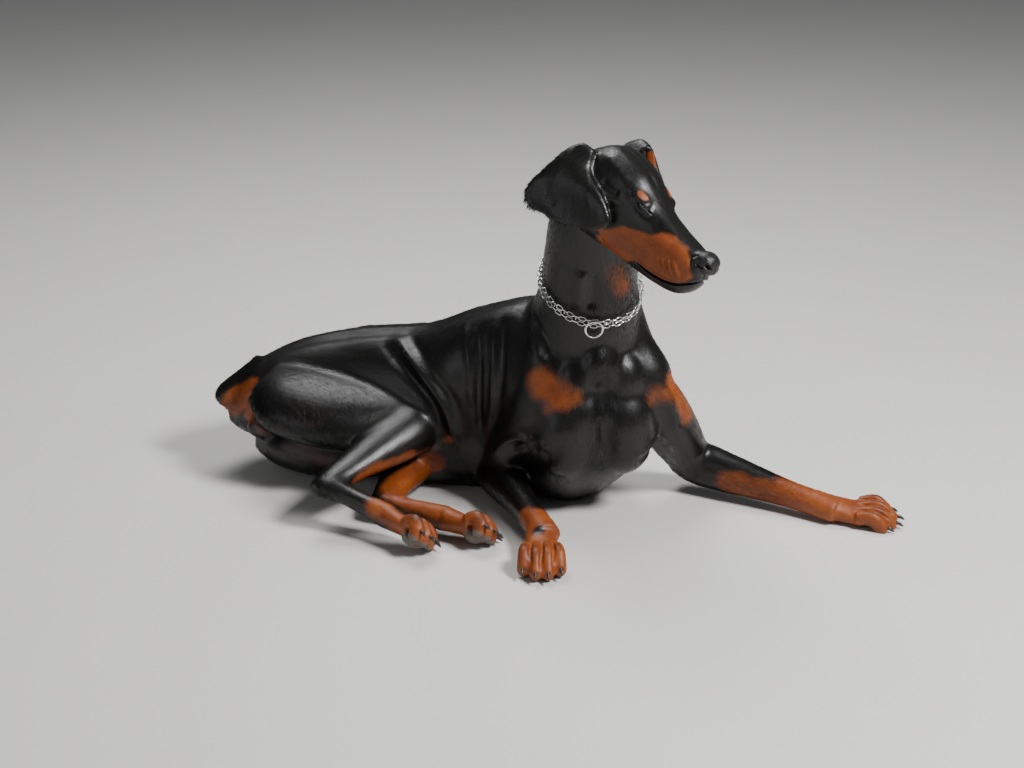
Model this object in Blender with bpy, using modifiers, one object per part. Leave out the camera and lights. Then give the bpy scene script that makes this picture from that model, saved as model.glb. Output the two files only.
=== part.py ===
"""Doberman pinscher lying down, life size: a large black and rust male with natural ears.

It lies with its hips rolled on to the left side. Both hind legs reach toward the viewer, the
chest is turned toward the viewer, the left foreleg is stretched out and the head looks right.
Axes: +X from the rump to the stretched forepaw, -Y the way the chest faces, +Z up from the floor.
"""
import math

import bmesh
import bpy
import numpy as np
from mathutils import Matrix, Vector
from mathutils.bvhtree import BVHTree

# Bones and paws of a large male, in metres
HUMERUS = 0.180
FOREARM = 0.235
FORE_PAW = 0.142
FEMUR = 0.200
TIBIA = 0.220
METATARSUS = 0.118
HIND_PAW = 0.100
EAR_THICKNESS = 0.005

# Gap between neighbouring pieces, and the shift that centres the model over its footprint
GAP = 0.0003
MIDDLE = Vector((0.014, -0.003, 0))

# Chain collar: centre and axis of its loop, wire and row sizes, and the ring
COLLAR_CENTRE = Vector((0.073, 0.018, 0.384))
COLLAR_AXIS = Vector((0.16, -0.475, 0.865))
COLLAR_STEPS = 46
COLLAR_LIFT = 0.0030
WIRE = 0.0015
ROW_GAP = 0.0055
RING_RADIUS = 0.0135
RING_WIRE = 0.0018

# Fineness of the grown skin, and the triangles that each region keeps
VOXEL = 0.003
RELAX = 8
BODY_RELAX = 50
EAR_STEPS = 2
BODY_TRIANGLES = 2500
PAW_TRIANGLES = 1500
HEAD_TRIANGLES = 2700
HEAD_REACH = 0.175
PAW_REACH = 0.09
WELDS = (0.0001, 0.00003, 0.00001)


def limb_points(start, *steps):
    """Joints of one leg: each step is a direction and the length of the bone along it."""
    points = [Vector(start)]
    for direction, length in steps:
        points.append(points[-1] + Vector(direction).normalized() * length)
    return points


# The lying pose: where each leg starts, in metres, and the way its bones point
LEGS = {
    "fore_right": limb_points((-0.005, -0.020, 0.185), ((-80, 90, -145), HUMERUS),
                              ((73, -212, -8), FOREARM)),
    "fore_left": limb_points((0.166, 0.012, 0.200), ((80, 64, -148), HUMERUS),
                             ((200, -120, -27), FOREARM)),
    "hind_right": limb_points((-0.385, 0.150, 0.155), ((183, -72, -34), FEMUR),
                              ((-142, -163, -42), TIBIA), ((108, -50, -38), METATARSUS)),
    "hind_left": limb_points((-0.400, 0.205, 0.055), ((194, -45, -13), FEMUR),
                             ((-49, -214, -6), TIBIA), ((108, -63, -4), METATARSUS)),
}
WITHERS = Vector((-0.015, 0.085, 0.330))
TAIL_ROOT = Vector((-0.495, 0.190, 0.150))
TAIL_TIP = Vector((-0.548, 0.175, 0.118))
UP = Vector((0, 0, 1))

# Thin direction of each leg, and how each paw lies
FLAT = {
    "fore_right": Vector((-0.8, -0.4, 0.3)),
    "fore_left": Vector((0.5, 0.8, 0.3)),
    "hind_right": Vector((0.1, -0.25, 1)),
    "hind_left": Vector((0.0, 0.1, 1)),
}
PAWS = {
    "fore_right": dict(forward=(0.0, -1, -0.12), up=(0, 0, 1), length=FORE_PAW, width=0.072),
    "fore_left": dict(forward=(1, -0.25, -0.06), up=(0.1, -0.2, 1), length=FORE_PAW, width=0.070),
    "hind_right": dict(forward=(0.8, -0.55, -0.08), up=(-0.35, 0.75, 0.55), length=HIND_PAW,
                       width=0.068),
    "hind_left": dict(forward=(0.85, -0.4, 0.0), up=(-0.35, 0.75, 0.60), length=HIND_PAW,
                      width=0.068),
}

# Head frame: origin at the stop between the eyes, +X to the nose, +Y to the dog's left
HEAD_PLACE = Vector((0.168, -0.134, 0.555))
HEAD_TURN = (-50, -17.5, -8)
EYE_CENTRE = (-0.004, 0.0245, -0.0075)
EYE_RADIUS = 0.0108
EYE_OUT = (0.55, 0.80, 0.20)
EYE_SLIT = (0.80, -0.50, -0.36)


def heading(degrees):
    """Level unit vector at an angle from +X toward +Y."""
    angle = math.radians(degrees)
    return Vector((math.cos(angle), math.sin(angle), 0))


def smooth_rows(rows, steps):
    """Catmull-Rom through the rows of numbers, with the ends held."""
    rows = np.array(rows, dtype=float)
    padded = np.vstack([2 * rows[0] - rows[1], rows, 2 * rows[-1] - rows[-2]])
    result = []
    for i in range(len(rows) - 1):
        a, b, c, d = padded[i:i + 4]
        for t in np.arange(steps) / steps:
            result.append(0.5 * (2 * b + (c - a) * t + (2 * a - 5 * b + 4 * c - d) * t ** 2
                                 + (3 * b - a - 3 * c + d) * t ** 3))
    result.append(rows[-1])
    return np.array(result)


def add_loft(forms, rows, sides=28, steps=5, power=2.0):
    """Closed loft; a row is centre, side axis, up axis, half width, half height up and down."""
    rings = []
    for row in smooth_rows([[*c, *s, *u, w, hu, hd] for c, s, u, w, hu, hd in rows], steps):
        centre = Vector(row[0:3])
        side = Vector(row[3:6]).normalized()
        up = Vector(row[6:9]).normalized()
        ring = []
        for k in range(sides):
            angle = 2 * math.pi * k / sides
            cos, sin = math.cos(angle), math.sin(angle)
            x = math.copysign(abs(cos) ** (2 / power), cos) * row[9]
            z = math.copysign(abs(sin) ** (2 / power), sin) * (row[10] if sin > 0 else row[11])
            ring.append(forms.verts.new(centre + side * x + up * z))
        rings.append(ring)
    for low, high in zip(rings, rings[1:]):
        for k in range(sides):
            forms.faces.new((low[k], low[k - 1], high[k - 1], high[k]))
    forms.faces.new(rings[0])
    forms.faces.new(list(reversed(rings[-1])))


def add_limb(forms, flat, stations, **options):
    """Loft along a limb; a station is its centre, half size along flat, and half size across."""
    centres = [Vector(c) for c, _, _ in stations]
    rows = []
    for i, (centre, thin, deep) in enumerate(stations):
        along = centres[min(i + 1, len(centres) - 1)] - centres[max(i - 1, 0)]
        side = (flat - along * flat.dot(along) / along.length_squared).normalized()
        up = along.cross(side).normalized()
        rows.append((Vector(centre), side, up, thin, deep, deep))
    add_loft(forms, rows, **options)


def add_ball(forms, centre, radii, axis=None, up=UP, segments=20):
    """Ellipsoid; the first radius runs along axis, the third along up."""
    verts = bmesh.ops.create_uvsphere(forms, u_segments=segments, v_segments=segments * 3 // 5,
                                      radius=1)["verts"]
    turn = Matrix.Identity(3)
    if axis is not None:
        x = Vector(axis).normalized()
        y = Vector(up).cross(x).normalized()
        turn = Matrix((x, y, x.cross(y))).transposed()
    place = Matrix.Translation(centre) @ turn.to_4x4() @ Matrix.Diagonal((*radii, 1))
    bmesh.ops.transform(forms, matrix=place, verts=verts)


def add_trunk(forms):
    """Thorax turned toward -Y, waist, and the pelvis rolled on to its left side."""
    def station(centre, turn, roll, width, up, down):
        side = heading(turn + 90)
        tilt = math.radians(roll)
        lean = UP * math.cos(tilt) + side * math.sin(tilt)
        side = side * math.cos(tilt) - UP * math.sin(tilt)
        return Vector(centre), side, lean, width, up, down

    add_loft(forms, [
        station((-0.530, 0.190, 0.105), -5, 40, 0.020, 0.020, 0.025),
        station((-0.505, 0.192, 0.112), -5, 40, 0.055, 0.050, 0.052),
        station((-0.455, 0.195, 0.124), -8, 38, 0.084, 0.071, 0.075),
        station((-0.390, 0.190, 0.132), -12, 32, 0.092, 0.095, 0.100),
        station((-0.300, 0.178, 0.142), -16, 20, 0.090, 0.106, 0.140),
        station((-0.190, 0.150, 0.140), -22, 8, 0.100, 0.126, 0.152),
        station((-0.090, 0.118, 0.155), -38, -2, 0.110, 0.155, 0.168),
        station((0.000, 0.085, 0.170), -52, -6, 0.112, 0.168, 0.180),
        station((0.050, 0.030, 0.175), -60, -6, 0.112, 0.140, 0.178),
        station((0.090, -0.025, 0.170), -62, -4, 0.104, 0.085, 0.120),
        station((0.105, -0.052, 0.170), -62, -2, 0.070, 0.050, 0.080),
        station((0.111, -0.064, 0.170), -62, -2, 0.030, 0.025, 0.040),
    ], power=2.2)
    for centre, radii in (
            ((0.040, -0.040, 0.150), (0.058, 0.050, 0.080)),
            ((0.128, -0.020, 0.150), (0.055, 0.052, 0.080)),
            ((0.050, -0.030, 0.225), (0.040, 0.040, 0.060)),
            ((0.124, -0.014, 0.222), (0.040, 0.040, 0.060)),
            ((0.090, -0.040, 0.262), (0.034, 0.026, 0.040))):
        add_ball(forms, centre, radii, heading(-62 + 90))


def add_shoulder(forms, side):
    """Shoulder blade and the muscle over it, from the withers to the point of the shoulder."""
    point = LEGS[f"fore_{side}"][0]
    crest = WITHERS + Vector((-0.005, -0.015, -0.045))
    flat = Vector((-0.75, -0.55, 0.35))
    if side == "left":
        crest = WITHERS + Vector((0.045, 0.010, -0.040))
        flat = Vector((0.75, 0.45, 0.40))
    add_limb(forms, flat, [
        (crest, 0.020, 0.040),
        (crest.lerp(point, 0.3), 0.036, 0.058),
        (crest.lerp(point, 0.7), 0.042, 0.056),
        (point, 0.044, 0.048),
        (point.lerp(crest, -0.2), 0.025, 0.028),
    ])


def add_neck_base(forms, side):
    """Muscle that runs down the side of the neck to the point of the shoulder."""
    point = LEGS[f"fore_{side}"][0]
    rows = (((0.112, 0.030, 0.370), 0.034), ((0.124, 0.028, 0.320), 0.038),
            ((0.138, 0.024, 0.272), 0.041), ((0.158, 0.016, 0.232), 0.046), (point, 0.046))
    if side == "right":
        rows = (((0.035, 0.010, 0.370), 0.034), ((0.022, 0.004, 0.320), 0.038),
                ((0.010, -0.006, 0.270), 0.042), ((0.002, -0.014, 0.225), 0.044), (point, 0.042))
    add_limb(forms, Vector((0, 1, 0)), [(centre, half, half) for centre, half in rows])


def add_neck(forms):
    """Long arched neck from between the shoulders to the back of the skull."""
    rows = (
        ((0.045, 0.050, 0.220), 20, (-0.20, 0.90, 0.30), 0.108, 0.100, 0.108),
        ((0.066, 0.035, 0.300), 20, (-0.30, 0.85, 0.45), 0.096, 0.090, 0.094),
        ((0.072, 0.020, 0.365), 22, (-0.35, 0.85, 0.30), 0.081, 0.078, 0.082),
        ((0.071, 0.006, 0.430), 26, (-0.40, 0.85, 0.20), 0.074, 0.068, 0.073),
        ((0.075, -0.012, 0.495), 32, (-0.50, 0.80, 0.25), 0.069, 0.064, 0.067),
        ((0.086, -0.030, 0.550), 38, (-0.55, 0.70, 0.45), 0.060, 0.058, 0.066),
        ((0.104, -0.050, 0.585), 40, (-0.50, 0.60, 0.65), 0.044, 0.036, 0.050),
    )
    add_loft(forms, [(Vector(centre), heading(turn), Vector(back), half, rear, front)
                     for centre, turn, back, half, rear, front in rows], steps=6)


def head_matrix():
    turn, pitch, roll = (math.radians(a) for a in HEAD_TURN)
    return (Matrix.Translation(HEAD_PLACE) @ Matrix.Rotation(turn, 4, "Z")
            @ Matrix.Rotation(-pitch, 4, "Y") @ Matrix.Rotation(roll, 4, "X"))


def add_head(forms):
    """Long blunt wedge in the head's own frame: flat skull, slight stop, deep muzzle."""
    head = bmesh.new()
    skull = (
        (-0.150, 0.028, -0.022, 0.016, 0.030),
        (-0.138, 0.043, -0.028, 0.046, 0.050),
        (-0.105, 0.052, -0.032, 0.070, 0.066),
        (-0.070, 0.054, -0.038, 0.075, 0.070),
        (-0.035, 0.049, -0.044, 0.072, 0.064),
        (-0.008, 0.041, -0.049, 0.061, 0.060),
        (0.022, 0.035, -0.051, 0.0475, 0.060),
        (0.062, 0.0305, -0.051, 0.037, 0.058),
        (0.092, 0.0280, -0.052, 0.032, 0.051),
        (0.111, 0.0245, -0.051, 0.027, 0.040),
        (0.121, 0.0185, -0.050, 0.020, 0.027),
        (0.1255, 0.0090, -0.049, 0.010, 0.016),
    )
    nose = (
        (0.104, 0.0140, -0.032, 0.011, 0.012),
        (0.117, 0.0185, -0.032, 0.016, 0.016),
        (0.130, 0.0180, -0.033, 0.015, 0.016),
        (0.1375, 0.0130, -0.035, 0.010, 0.012),
        (0.1402, 0.0060, -0.036, 0.005, 0.006),
    )
    for sections, power in ((skull, 2.5), (nose, 2.4)):
        add_loft(head, [(Vector((x, 0, z)), Vector((0, 1, 0)), UP, half, up, down)
                        for x, half, z, up, down in sections], power=power)
    for y in (-1, 1):
        add_ball(head, (-0.072, 0.036 * y, -0.062), (0.045, 0.019, 0.036), (1, 0, 0.25))
        add_ball(head, (-0.045, 0.039 * y, -0.020), (0.042, 0.013, 0.011), (1, -0.35 * y, 0.05))
        add_ball(head, (-0.014, 0.026 * y, 0.000), (0.022, 0.0115, 0.009), (1, -0.5 * y, -0.25))
        add_ball(head, (EYE_CENTRE[0], EYE_CENTRE[1] * y, EYE_CENTRE[2]), (EYE_RADIUS + 0.0018,) * 3)
        add_ball(head, (0.088, 0.0135 * y, -0.065), (0.032, 0.0165, 0.022), (1, -0.1 * y, 0))
    bmesh.ops.transform(head, matrix=head_matrix(), verts=head.verts)
    mesh = bpy.data.meshes.new("head forms")
    head.to_mesh(mesh)
    forms.from_mesh(mesh)
    bpy.data.meshes.remove(mesh)
    head.free()


def add_tail(forms):
    root, tip = TAIL_ROOT, TAIL_TIP
    add_limb(forms, UP, [(root.lerp(tip, -0.6), 0.030, 0.030), (root, 0.026, 0.028),
                         (tip.lerp(root, 0.25), 0.022, 0.024), (tip, 0.012, 0.014)])


def add_hind_leg(forms, side):
    """Thigh, shank with the tendon of the heel, and the long rear pastern."""
    hip, knee, hock, toes = LEGS[f"hind_{side}"]
    flat = FLAT[f"hind_{side}"]
    back = (hock - knee).normalized()
    add_limb(forms, flat, [
        (hip + back * 0.02 - (knee - hip) * 0.25, 0.040, 0.070),
        (hip + back * 0.035, 0.052, 0.095),
        (hip.lerp(knee, 0.35) + back * 0.035, 0.055, 0.095),
        (hip.lerp(knee, 0.7) + back * 0.02, 0.050, 0.075),
        (knee, 0.038, 0.048),
        (knee.lerp(hip, -0.12), 0.020, 0.025),
    ])
    add_limb(forms, flat, [
        (knee - back * 0.02, 0.030, 0.030),
        (knee + back * 0.02, 0.042, 0.050),
        (knee.lerp(hock, 0.35), 0.036, 0.046),
        (knee.lerp(hock, 0.7), 0.023, 0.032),
        (hock - back * 0.01, 0.019, 0.026),
        (hock + back * 0.02, 0.015, 0.020),
    ])
    add_limb(forms, flat, [
        (hock - (toes - hock) * 0.10, 0.016, 0.020),
        (hock, 0.019, 0.024),
        (hock.lerp(toes, 0.4), 0.017, 0.019),
        (toes, 0.022, 0.020),
    ])


def add_fore_leg(forms, side):
    shoulder, elbow, wrist = LEGS[f"fore_{side}"]
    flat = FLAT[f"fore_{side}"]
    back = (elbow - shoulder).normalized()
    add_limb(forms, flat, [
        (shoulder - back * 0.025, 0.034, 0.040),
        (shoulder + back * 0.02, 0.044, 0.052),
        (shoulder.lerp(elbow, 0.5), 0.042, 0.052),
        (elbow - back * 0.02, 0.034, 0.042),
        (elbow + back * 0.018, 0.024, 0.030),
    ])
    along = (wrist - elbow).normalized()
    add_limb(forms, flat, [
        (elbow - along * 0.03, 0.026, 0.030),
        (elbow + along * 0.015, 0.034, 0.040),
        (elbow.lerp(wrist, 0.3), 0.031, 0.036),
        (elbow.lerp(wrist, 0.7), 0.0225, 0.025),
        (wrist - along * 0.01, 0.023, 0.022),
        (wrist + along * 0.03, 0.024, 0.019),
    ])


def paw_frame(name):
    """Ankle point, forward, side and up axes, length and width of one paw."""
    paw = PAWS[name]
    forward = Vector(paw["forward"]).normalized()
    side = Vector(paw["up"]).cross(forward).normalized()
    return LEGS[name][-1], forward, side, forward.cross(side), paw["length"], paw["width"]


def toes_of(name):
    """Root and reach of the four toes of one paw, and their half width."""
    ankle, forward, side, up, length, width = paw_frame(name)
    toes = []
    for k, reach in zip((-1.5, -0.5, 0.5, 1.5), (0.80, 1.0, 1.0, 0.80)):
        root = ankle + forward * (length * 0.42) + side * (k * width * 0.22)
        toes.append((root, forward * (length * 0.46 * reach) + side * (k * width * 0.05)))
    return toes, width * 0.145


def add_paw(forms, name):
    """Instep, four arched toes and the pads under them."""
    ankle, forward, side, up, length, width = paw_frame(name)
    toes, half = toes_of(name)
    knuckles = ankle + forward * (length * 0.5) - up * 0.006
    add_limb(forms, side, [
        (ankle, 0.024, 0.020),
        (ankle.lerp(knuckles, 0.6), 0.027, 0.017),
        (knuckles, width * 0.44, 0.015),
    ])
    for root, toe in toes:
        tip = root + toe - up * 0.012
        add_limb(forms, side, [
            (root, half, 0.012), (root + toe * 0.48 + up * 0.005, half * 1.05, 0.014),
            (tip - toe * 0.12, half, 0.013), (tip, half * 0.6, 0.008)])
        add_ball(forms, tip - toe * 0.22 - up * 0.006, (0.012, half * 0.8, 0.008), forward, up)
    add_ball(forms, knuckles - up * 0.014 + forward * 0.004, (0.018, width * 0.27, 0.011), forward, up)


def claws_of(name, **options):
    """Four short curved claws, rooted in the tips of the toes."""
    ankle, forward, side, up, length, width = paw_frame(name)
    claws = []
    for root, toe in toes_of(name)[0]:
        ahead = toe.normalized()
        start = root + toe * 0.93 - up * 0.006
        claw = bmesh.new()
        add_limb(claw, side, [
            (start - ahead * 0.004, 0.0028, 0.0034), (start + ahead * 0.005, 0.0026, 0.0032),
            (start + ahead * 0.010 - up * 0.002, 0.0019, 0.0024),
            (start + ahead * 0.014 - up * 0.0045, 0.0008, 0.0010)], **options)
        claws.append(claw)
    return claws


def add_groin(forms):
    """What shows of a male between the raised right thigh and the floor."""
    add_ball(forms, (-0.470, 0.112, 0.096), (0.026, 0.020, 0.020), (1, 0.3, -0.4))
    add_ball(forms, (-0.190, 0.062, 0.080), (0.045, 0.013, 0.014), (1, -0.3, 0.15))


# One ear flap in the head frame: its rolled front, its middle and its back edge, root to hem
EAR_FRONT = ((-0.112, 0.034, 0.012), (-0.116, 0.046, 0.025), (-0.107, 0.055, 0.006),
             (-0.093, 0.061, -0.006), (-0.068, 0.065, -0.016), (-0.044, 0.066, -0.031),
             (-0.030, 0.065, -0.048), (-0.038, 0.067, -0.067))
EAR_MIDDLE = ((-0.116, 0.034, 0.012), (-0.134, 0.049, 0.027), (-0.142, 0.064, 0.016),
              (-0.136, 0.077, -0.004), (-0.122, 0.083, -0.028), (-0.108, 0.082, -0.052),
              (-0.099, 0.083, -0.073), (-0.094, 0.086, -0.0845))
EAR_BACK = ((-0.132, 0.034, 0.002), (-0.148, 0.048, 0.015), (-0.157, 0.066, 0.000),
            (-0.163, 0.084, -0.022), (-0.168, 0.097, -0.044), (-0.168, 0.105, -0.062),
            (-0.161, 0.107, -0.079), (-0.147, 0.106, -0.0865))
EAR_ROLL = (0.0, 0.3, 1.0, 1.0, 1.0, 1.0, 0.8, 0.3)
LEFT_EAR_FLARE = (0.016, 0.009, 0.010)
FLARE_SHARE = (0.3, 1.0, 1.2, 1.0, 0.6, 0.3, 0.0, 0.0)


def ear_rails(side):
    """The flap's four rails; the front edge rolls in, and the left ear stands further off."""
    rolled = [(x - 0.012 * roll, y - 0.013 * roll, z) for (x, y, z), roll in zip(EAR_FRONT, EAR_ROLL)]
    rails = np.array((rolled, EAR_FRONT, EAR_MIDDLE, EAR_BACK))
    if side > 0:
        flare = np.outer(FLARE_SHARE, LEFT_EAR_FLARE)
        rails = rails + flare * np.array((1.0, 1.0, 0.8, 0.3))[:, None, None]
    return rails * (1, side, 1)


def ear_surface(side, steps):
    """Open grid of one hanging ear flap in the head frame."""
    rails = [smooth_rows(rail, steps) for rail in ear_rails(side)]
    grid = bmesh.new()
    rows = []
    for i in range(len(rails[0])):
        across = smooth_rows([rail[i] for rail in rails], steps + 1)
        rows.append([grid.verts.new(point) for point in across])
    for low, high in zip(rows, rows[1:]):
        for k in range(len(low) - 1):
            grid.faces.new((low[k], low[k + 1], high[k + 1], high[k]))
    return grid


def mesh_of(bm, name="shape"):
    """Mesh datablock with outward faces; the bmesh is used up."""
    bmesh.ops.recalc_face_normals(bm, faces=bm.faces)
    mesh = bpy.data.meshes.new(name)
    bm.to_mesh(mesh)
    bm.free()
    return mesh


def with_modifier(mesh, kind, group=None, **settings):
    """Mesh after one modifier, through a passing object; group marks the points it works on."""
    carrier = bpy.data.objects.new("carrier", mesh)
    bpy.context.scene.collection.objects.link(carrier)
    modifier = carrier.modifiers.new(kind.lower(), kind)
    for key, value in settings.items():
        setattr(modifier, key, value)
    if group is not None:
        carrier.vertex_groups.clear()
        chosen = carrier.vertex_groups.new(name="chosen")
        chosen.add([int(i) for i in np.nonzero(group)[0]], 1.0, "REPLACE")
        modifier.vertex_group = chosen.name
    graph = bpy.context.evaluated_depsgraph_get()
    result = bpy.data.meshes.new_from_object(carrier.evaluated_get(graph))
    bpy.data.objects.remove(carrier)
    return result


def points_of(mesh):
    co = np.empty(len(mesh.vertices) * 3, dtype=np.float32)
    mesh.vertices.foreach_get("co", co)
    return co.reshape(-1, 3).astype(float)


def set_points(mesh, co):
    mesh.vertices.foreach_set("co", np.asarray(co, dtype=np.float32).ravel())
    mesh.update()


def normals_of(mesh):
    no = np.empty(len(mesh.vertices) * 3, dtype=np.float32)
    mesh.vertices.foreach_get("normal", no)
    return no.reshape(-1, 3).astype(float)


def near(co, centres, radius):
    """True for the points within radius of any centre."""
    inside = np.zeros(len(co), dtype=bool)
    for centre in centres:
        inside |= np.linalg.norm(co - np.array(centre), axis=1) < radius
    return inside


def body_forms():
    forms = bmesh.new()
    add_trunk(forms)
    add_neck(forms)
    add_head(forms)
    add_tail(forms)
    for side in ("right", "left"):
        add_shoulder(forms, side)
        add_neck_base(forms, side)
        add_fore_leg(forms, side)
        add_hind_leg(forms, side)
    add_groin(forms)
    for name in PAWS:
        add_paw(forms, name)
    return forms


def to_head(points, side=1):
    """Points of the head frame in the dog's frame; side -1 mirrors them to the right."""
    place = head_matrix()
    return [place @ Vector((x, y * side, z)) for x, y, z in points]


def refined(mesh, chosen):
    """Mesh with the faces between the chosen points split once more."""
    bm = bmesh.new()
    bm.from_mesh(mesh)
    edges = [e for e in bm.edges if chosen[e.verts[0].index] and chosen[e.verts[1].index]]
    bmesh.ops.subdivide_edges(bm, edges=edges, cuts=1, use_grid_fill=True)
    return mesh_of(bm, mesh.name)


def paw_centres():
    centres = []
    for name in PAWS:
        ankle, forward, side, up, length, width = paw_frame(name)
        centres.append(ankle + forward * length * 0.5)
    return centres


def tree_of(mesh):
    return BVHTree.FromPolygons([v.co for v in mesh.vertices], [p.vertices for p in mesh.polygons])


def snapped(tree, points):
    return np.array([tree.find_nearest(Vector(point))[0] for point in points])


def distance_along(co, line):
    """Distance of each point from a polyline, and how far along it the nearest place is, 0 to 1."""
    best = np.full(len(co), 1e9)
    place = np.zeros(len(co))
    steps = np.linalg.norm(np.diff(line, axis=0), axis=1)
    starts = np.concatenate([[0], np.cumsum(steps)])
    for k, step in enumerate(steps):
        along = line[k + 1] - line[k]
        t = np.clip(((co - line[k]) @ along) / max(step * step, 1e-12), 0, 1)
        gap = np.linalg.norm(co - line[k] - t[:, None] * along, axis=1)
        closer = gap < best
        best = np.where(closer, gap, best)
        place = np.where(closer, (starts[k] + t * step) / starts[-1], place)
    return best, place


def drawn(co, normals, tree, line, width, height, square=False):
    """Raise the surface along a line, or sink it where height is negative; the ends fade."""
    line = smooth_rows(snapped(tree, line), 5)
    reach = 3 * width
    box = ((co > line.min(axis=0) - reach) & (co < line.max(axis=0) + reach)).all(axis=1)
    chosen = np.nonzero(box)[0]
    gap, place = distance_along(co[chosen], line)
    fade = np.clip(np.minimum(place, 1 - place) * 5 + 0.15, 0, 1)
    fall = np.exp(-(gap / width) ** (4 if square else 2))
    co[chosen] += normals[chosen] * (height * fade * fall)[:, None]


# Ridges and valleys of the body: points on or near the skin, half width, height
BODY_LINES = (
    (((-0.243, 0.131, 0.253), (-0.208, 0.072, 0.222), (-0.167, 0.035, 0.175),
      (-0.148, 0.030, 0.124), (-0.136, 0.036, 0.077)), 0.0085, 0.0060),
    (((-0.262, 0.120, 0.246), (-0.226, 0.068, 0.212), (-0.184, 0.034, 0.168),
      (-0.166, 0.030, 0.120)), 0.0090, -0.0065),
    (((-0.222, 0.130, 0.262), (-0.185, 0.075, 0.228), (-0.145, 0.040, 0.178),
      (-0.128, 0.034, 0.120)), 0.0100, -0.0045),
    (((-0.124, 0.070, 0.290), (-0.118, 0.030, 0.236), (-0.116, 0.024, 0.165)), 0.0070, 0.0040),
    (((-0.100, 0.056, 0.296), (-0.103, 0.022, 0.231), (-0.104, 0.021, 0.163),
      (-0.100, 0.026, 0.105)), 0.0060, -0.0055),
    (((-0.078, 0.050, 0.306), (-0.080, 0.016, 0.252), (-0.084, 0.008, 0.186),
      (-0.090, 0.018, 0.120)), 0.0075, 0.0042),
    (((-0.060, 0.048, 0.312), (-0.062, 0.010, 0.250), (-0.066, 0.004, 0.190)), 0.0080, -0.0032),
    (((-0.026, 0.010, 0.332), (-0.014, -0.020, 0.300), (-0.002, -0.036, 0.262)), 0.0085, 0.0045),
    (((-0.008, 0.006, 0.338), (0.006, -0.026, 0.300), (0.014, -0.040, 0.268)), 0.0110, -0.0050),
    (((0.098, -0.047, 0.291), (0.098, -0.069, 0.249), (0.097, -0.076, 0.202),
      (0.096, -0.072, 0.149), (0.096, -0.066, 0.112)), 0.0130, -0.0070),
    (((-0.095, -0.010, 0.092), (-0.063, -0.028, 0.126), (-0.040, -0.050, 0.142),
      (-0.026, -0.054, 0.128), (-0.026, -0.050, 0.100)), 0.0065, 0.0040),
    (((-0.050, -0.036, 0.112), (-0.034, -0.052, 0.124), (-0.018, -0.058, 0.136),
      (0.004, -0.064, 0.132)), 0.0065, -0.0035),
    (((-0.018, -0.058, 0.150), (0.006, -0.066, 0.148), (0.016, -0.066, 0.136)), 0.0050, 0.0040),
    (((0.140, -0.050, 0.120), (0.168, -0.036, 0.136), (0.196, -0.020, 0.120),
      (0.216, 0.006, 0.090)), 0.0065, 0.0055),
    (((0.150, -0.048, 0.100), (0.176, -0.030, 0.112), (0.198, -0.012, 0.090)), 0.0060, -0.0050),
    (((0.190, -0.030, 0.216), (0.206, -0.022, 0.186), (0.218, -0.008, 0.140)), 0.0080, 0.0040),
    (((0.057, -0.066, 0.428), (0.053, -0.062, 0.394), (0.050, -0.059, 0.361)), 0.0100, 0.0050),
    (((0.076, -0.070, 0.420), (0.074, -0.068, 0.390), (0.072, -0.064, 0.360)), 0.0100, -0.0050),
    (((-0.372, 0.100, 0.196), (-0.348, 0.076, 0.185), (-0.314, 0.058, 0.174),
      (-0.280, 0.040, 0.160)), 0.0100, 0.0030),
    (((-0.400, 0.080, 0.160), (-0.367, 0.040, 0.150), (-0.330, 0.020, 0.130)), 0.0110, -0.0035),
    (((-0.482, 0.092, 0.168), (-0.490, 0.120, 0.150), (-0.500, 0.140, 0.110)), 0.0060, -0.0040),
)


def shaped_body(co, normals, tree):
    for line, width, height in BODY_LINES:
        drawn(co, normals, tree, line, width, height)


def shaped_paws(co, normals, tree):
    """Clefts between the toes."""
    for name in PAWS:
        ankle, forward, side, up, length, width = paw_frame(name)
        toes, half = toes_of(name)
        for (root, toe), (other, other_toe) in zip(toes, toes[1:]):
            start = (root + other) / 2 + up * 0.012
            end = (root + toe + other + other_toe) / 2 + up * 0.004
            drawn(co, normals, tree, [start, (start + end) / 2 + up * 0.004, end - forward * 0.004],
                  0.0026, -0.0036)


# Corners of the mouth to the lips under the nose, along the right and the left of the muzzle
MOUTH = ((0.018, -0.088), (0.036, -0.0925), (0.054, -0.0945), (0.072, -0.0935), (0.088, -0.0895),
         (0.101, -0.083), (0.112, -0.074), (0.119, -0.065))
NOSE_CENTRE = (0.133, 0, -0.032)
NOSE_RADII = (0.021, 0.026, 0.0195)


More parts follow.
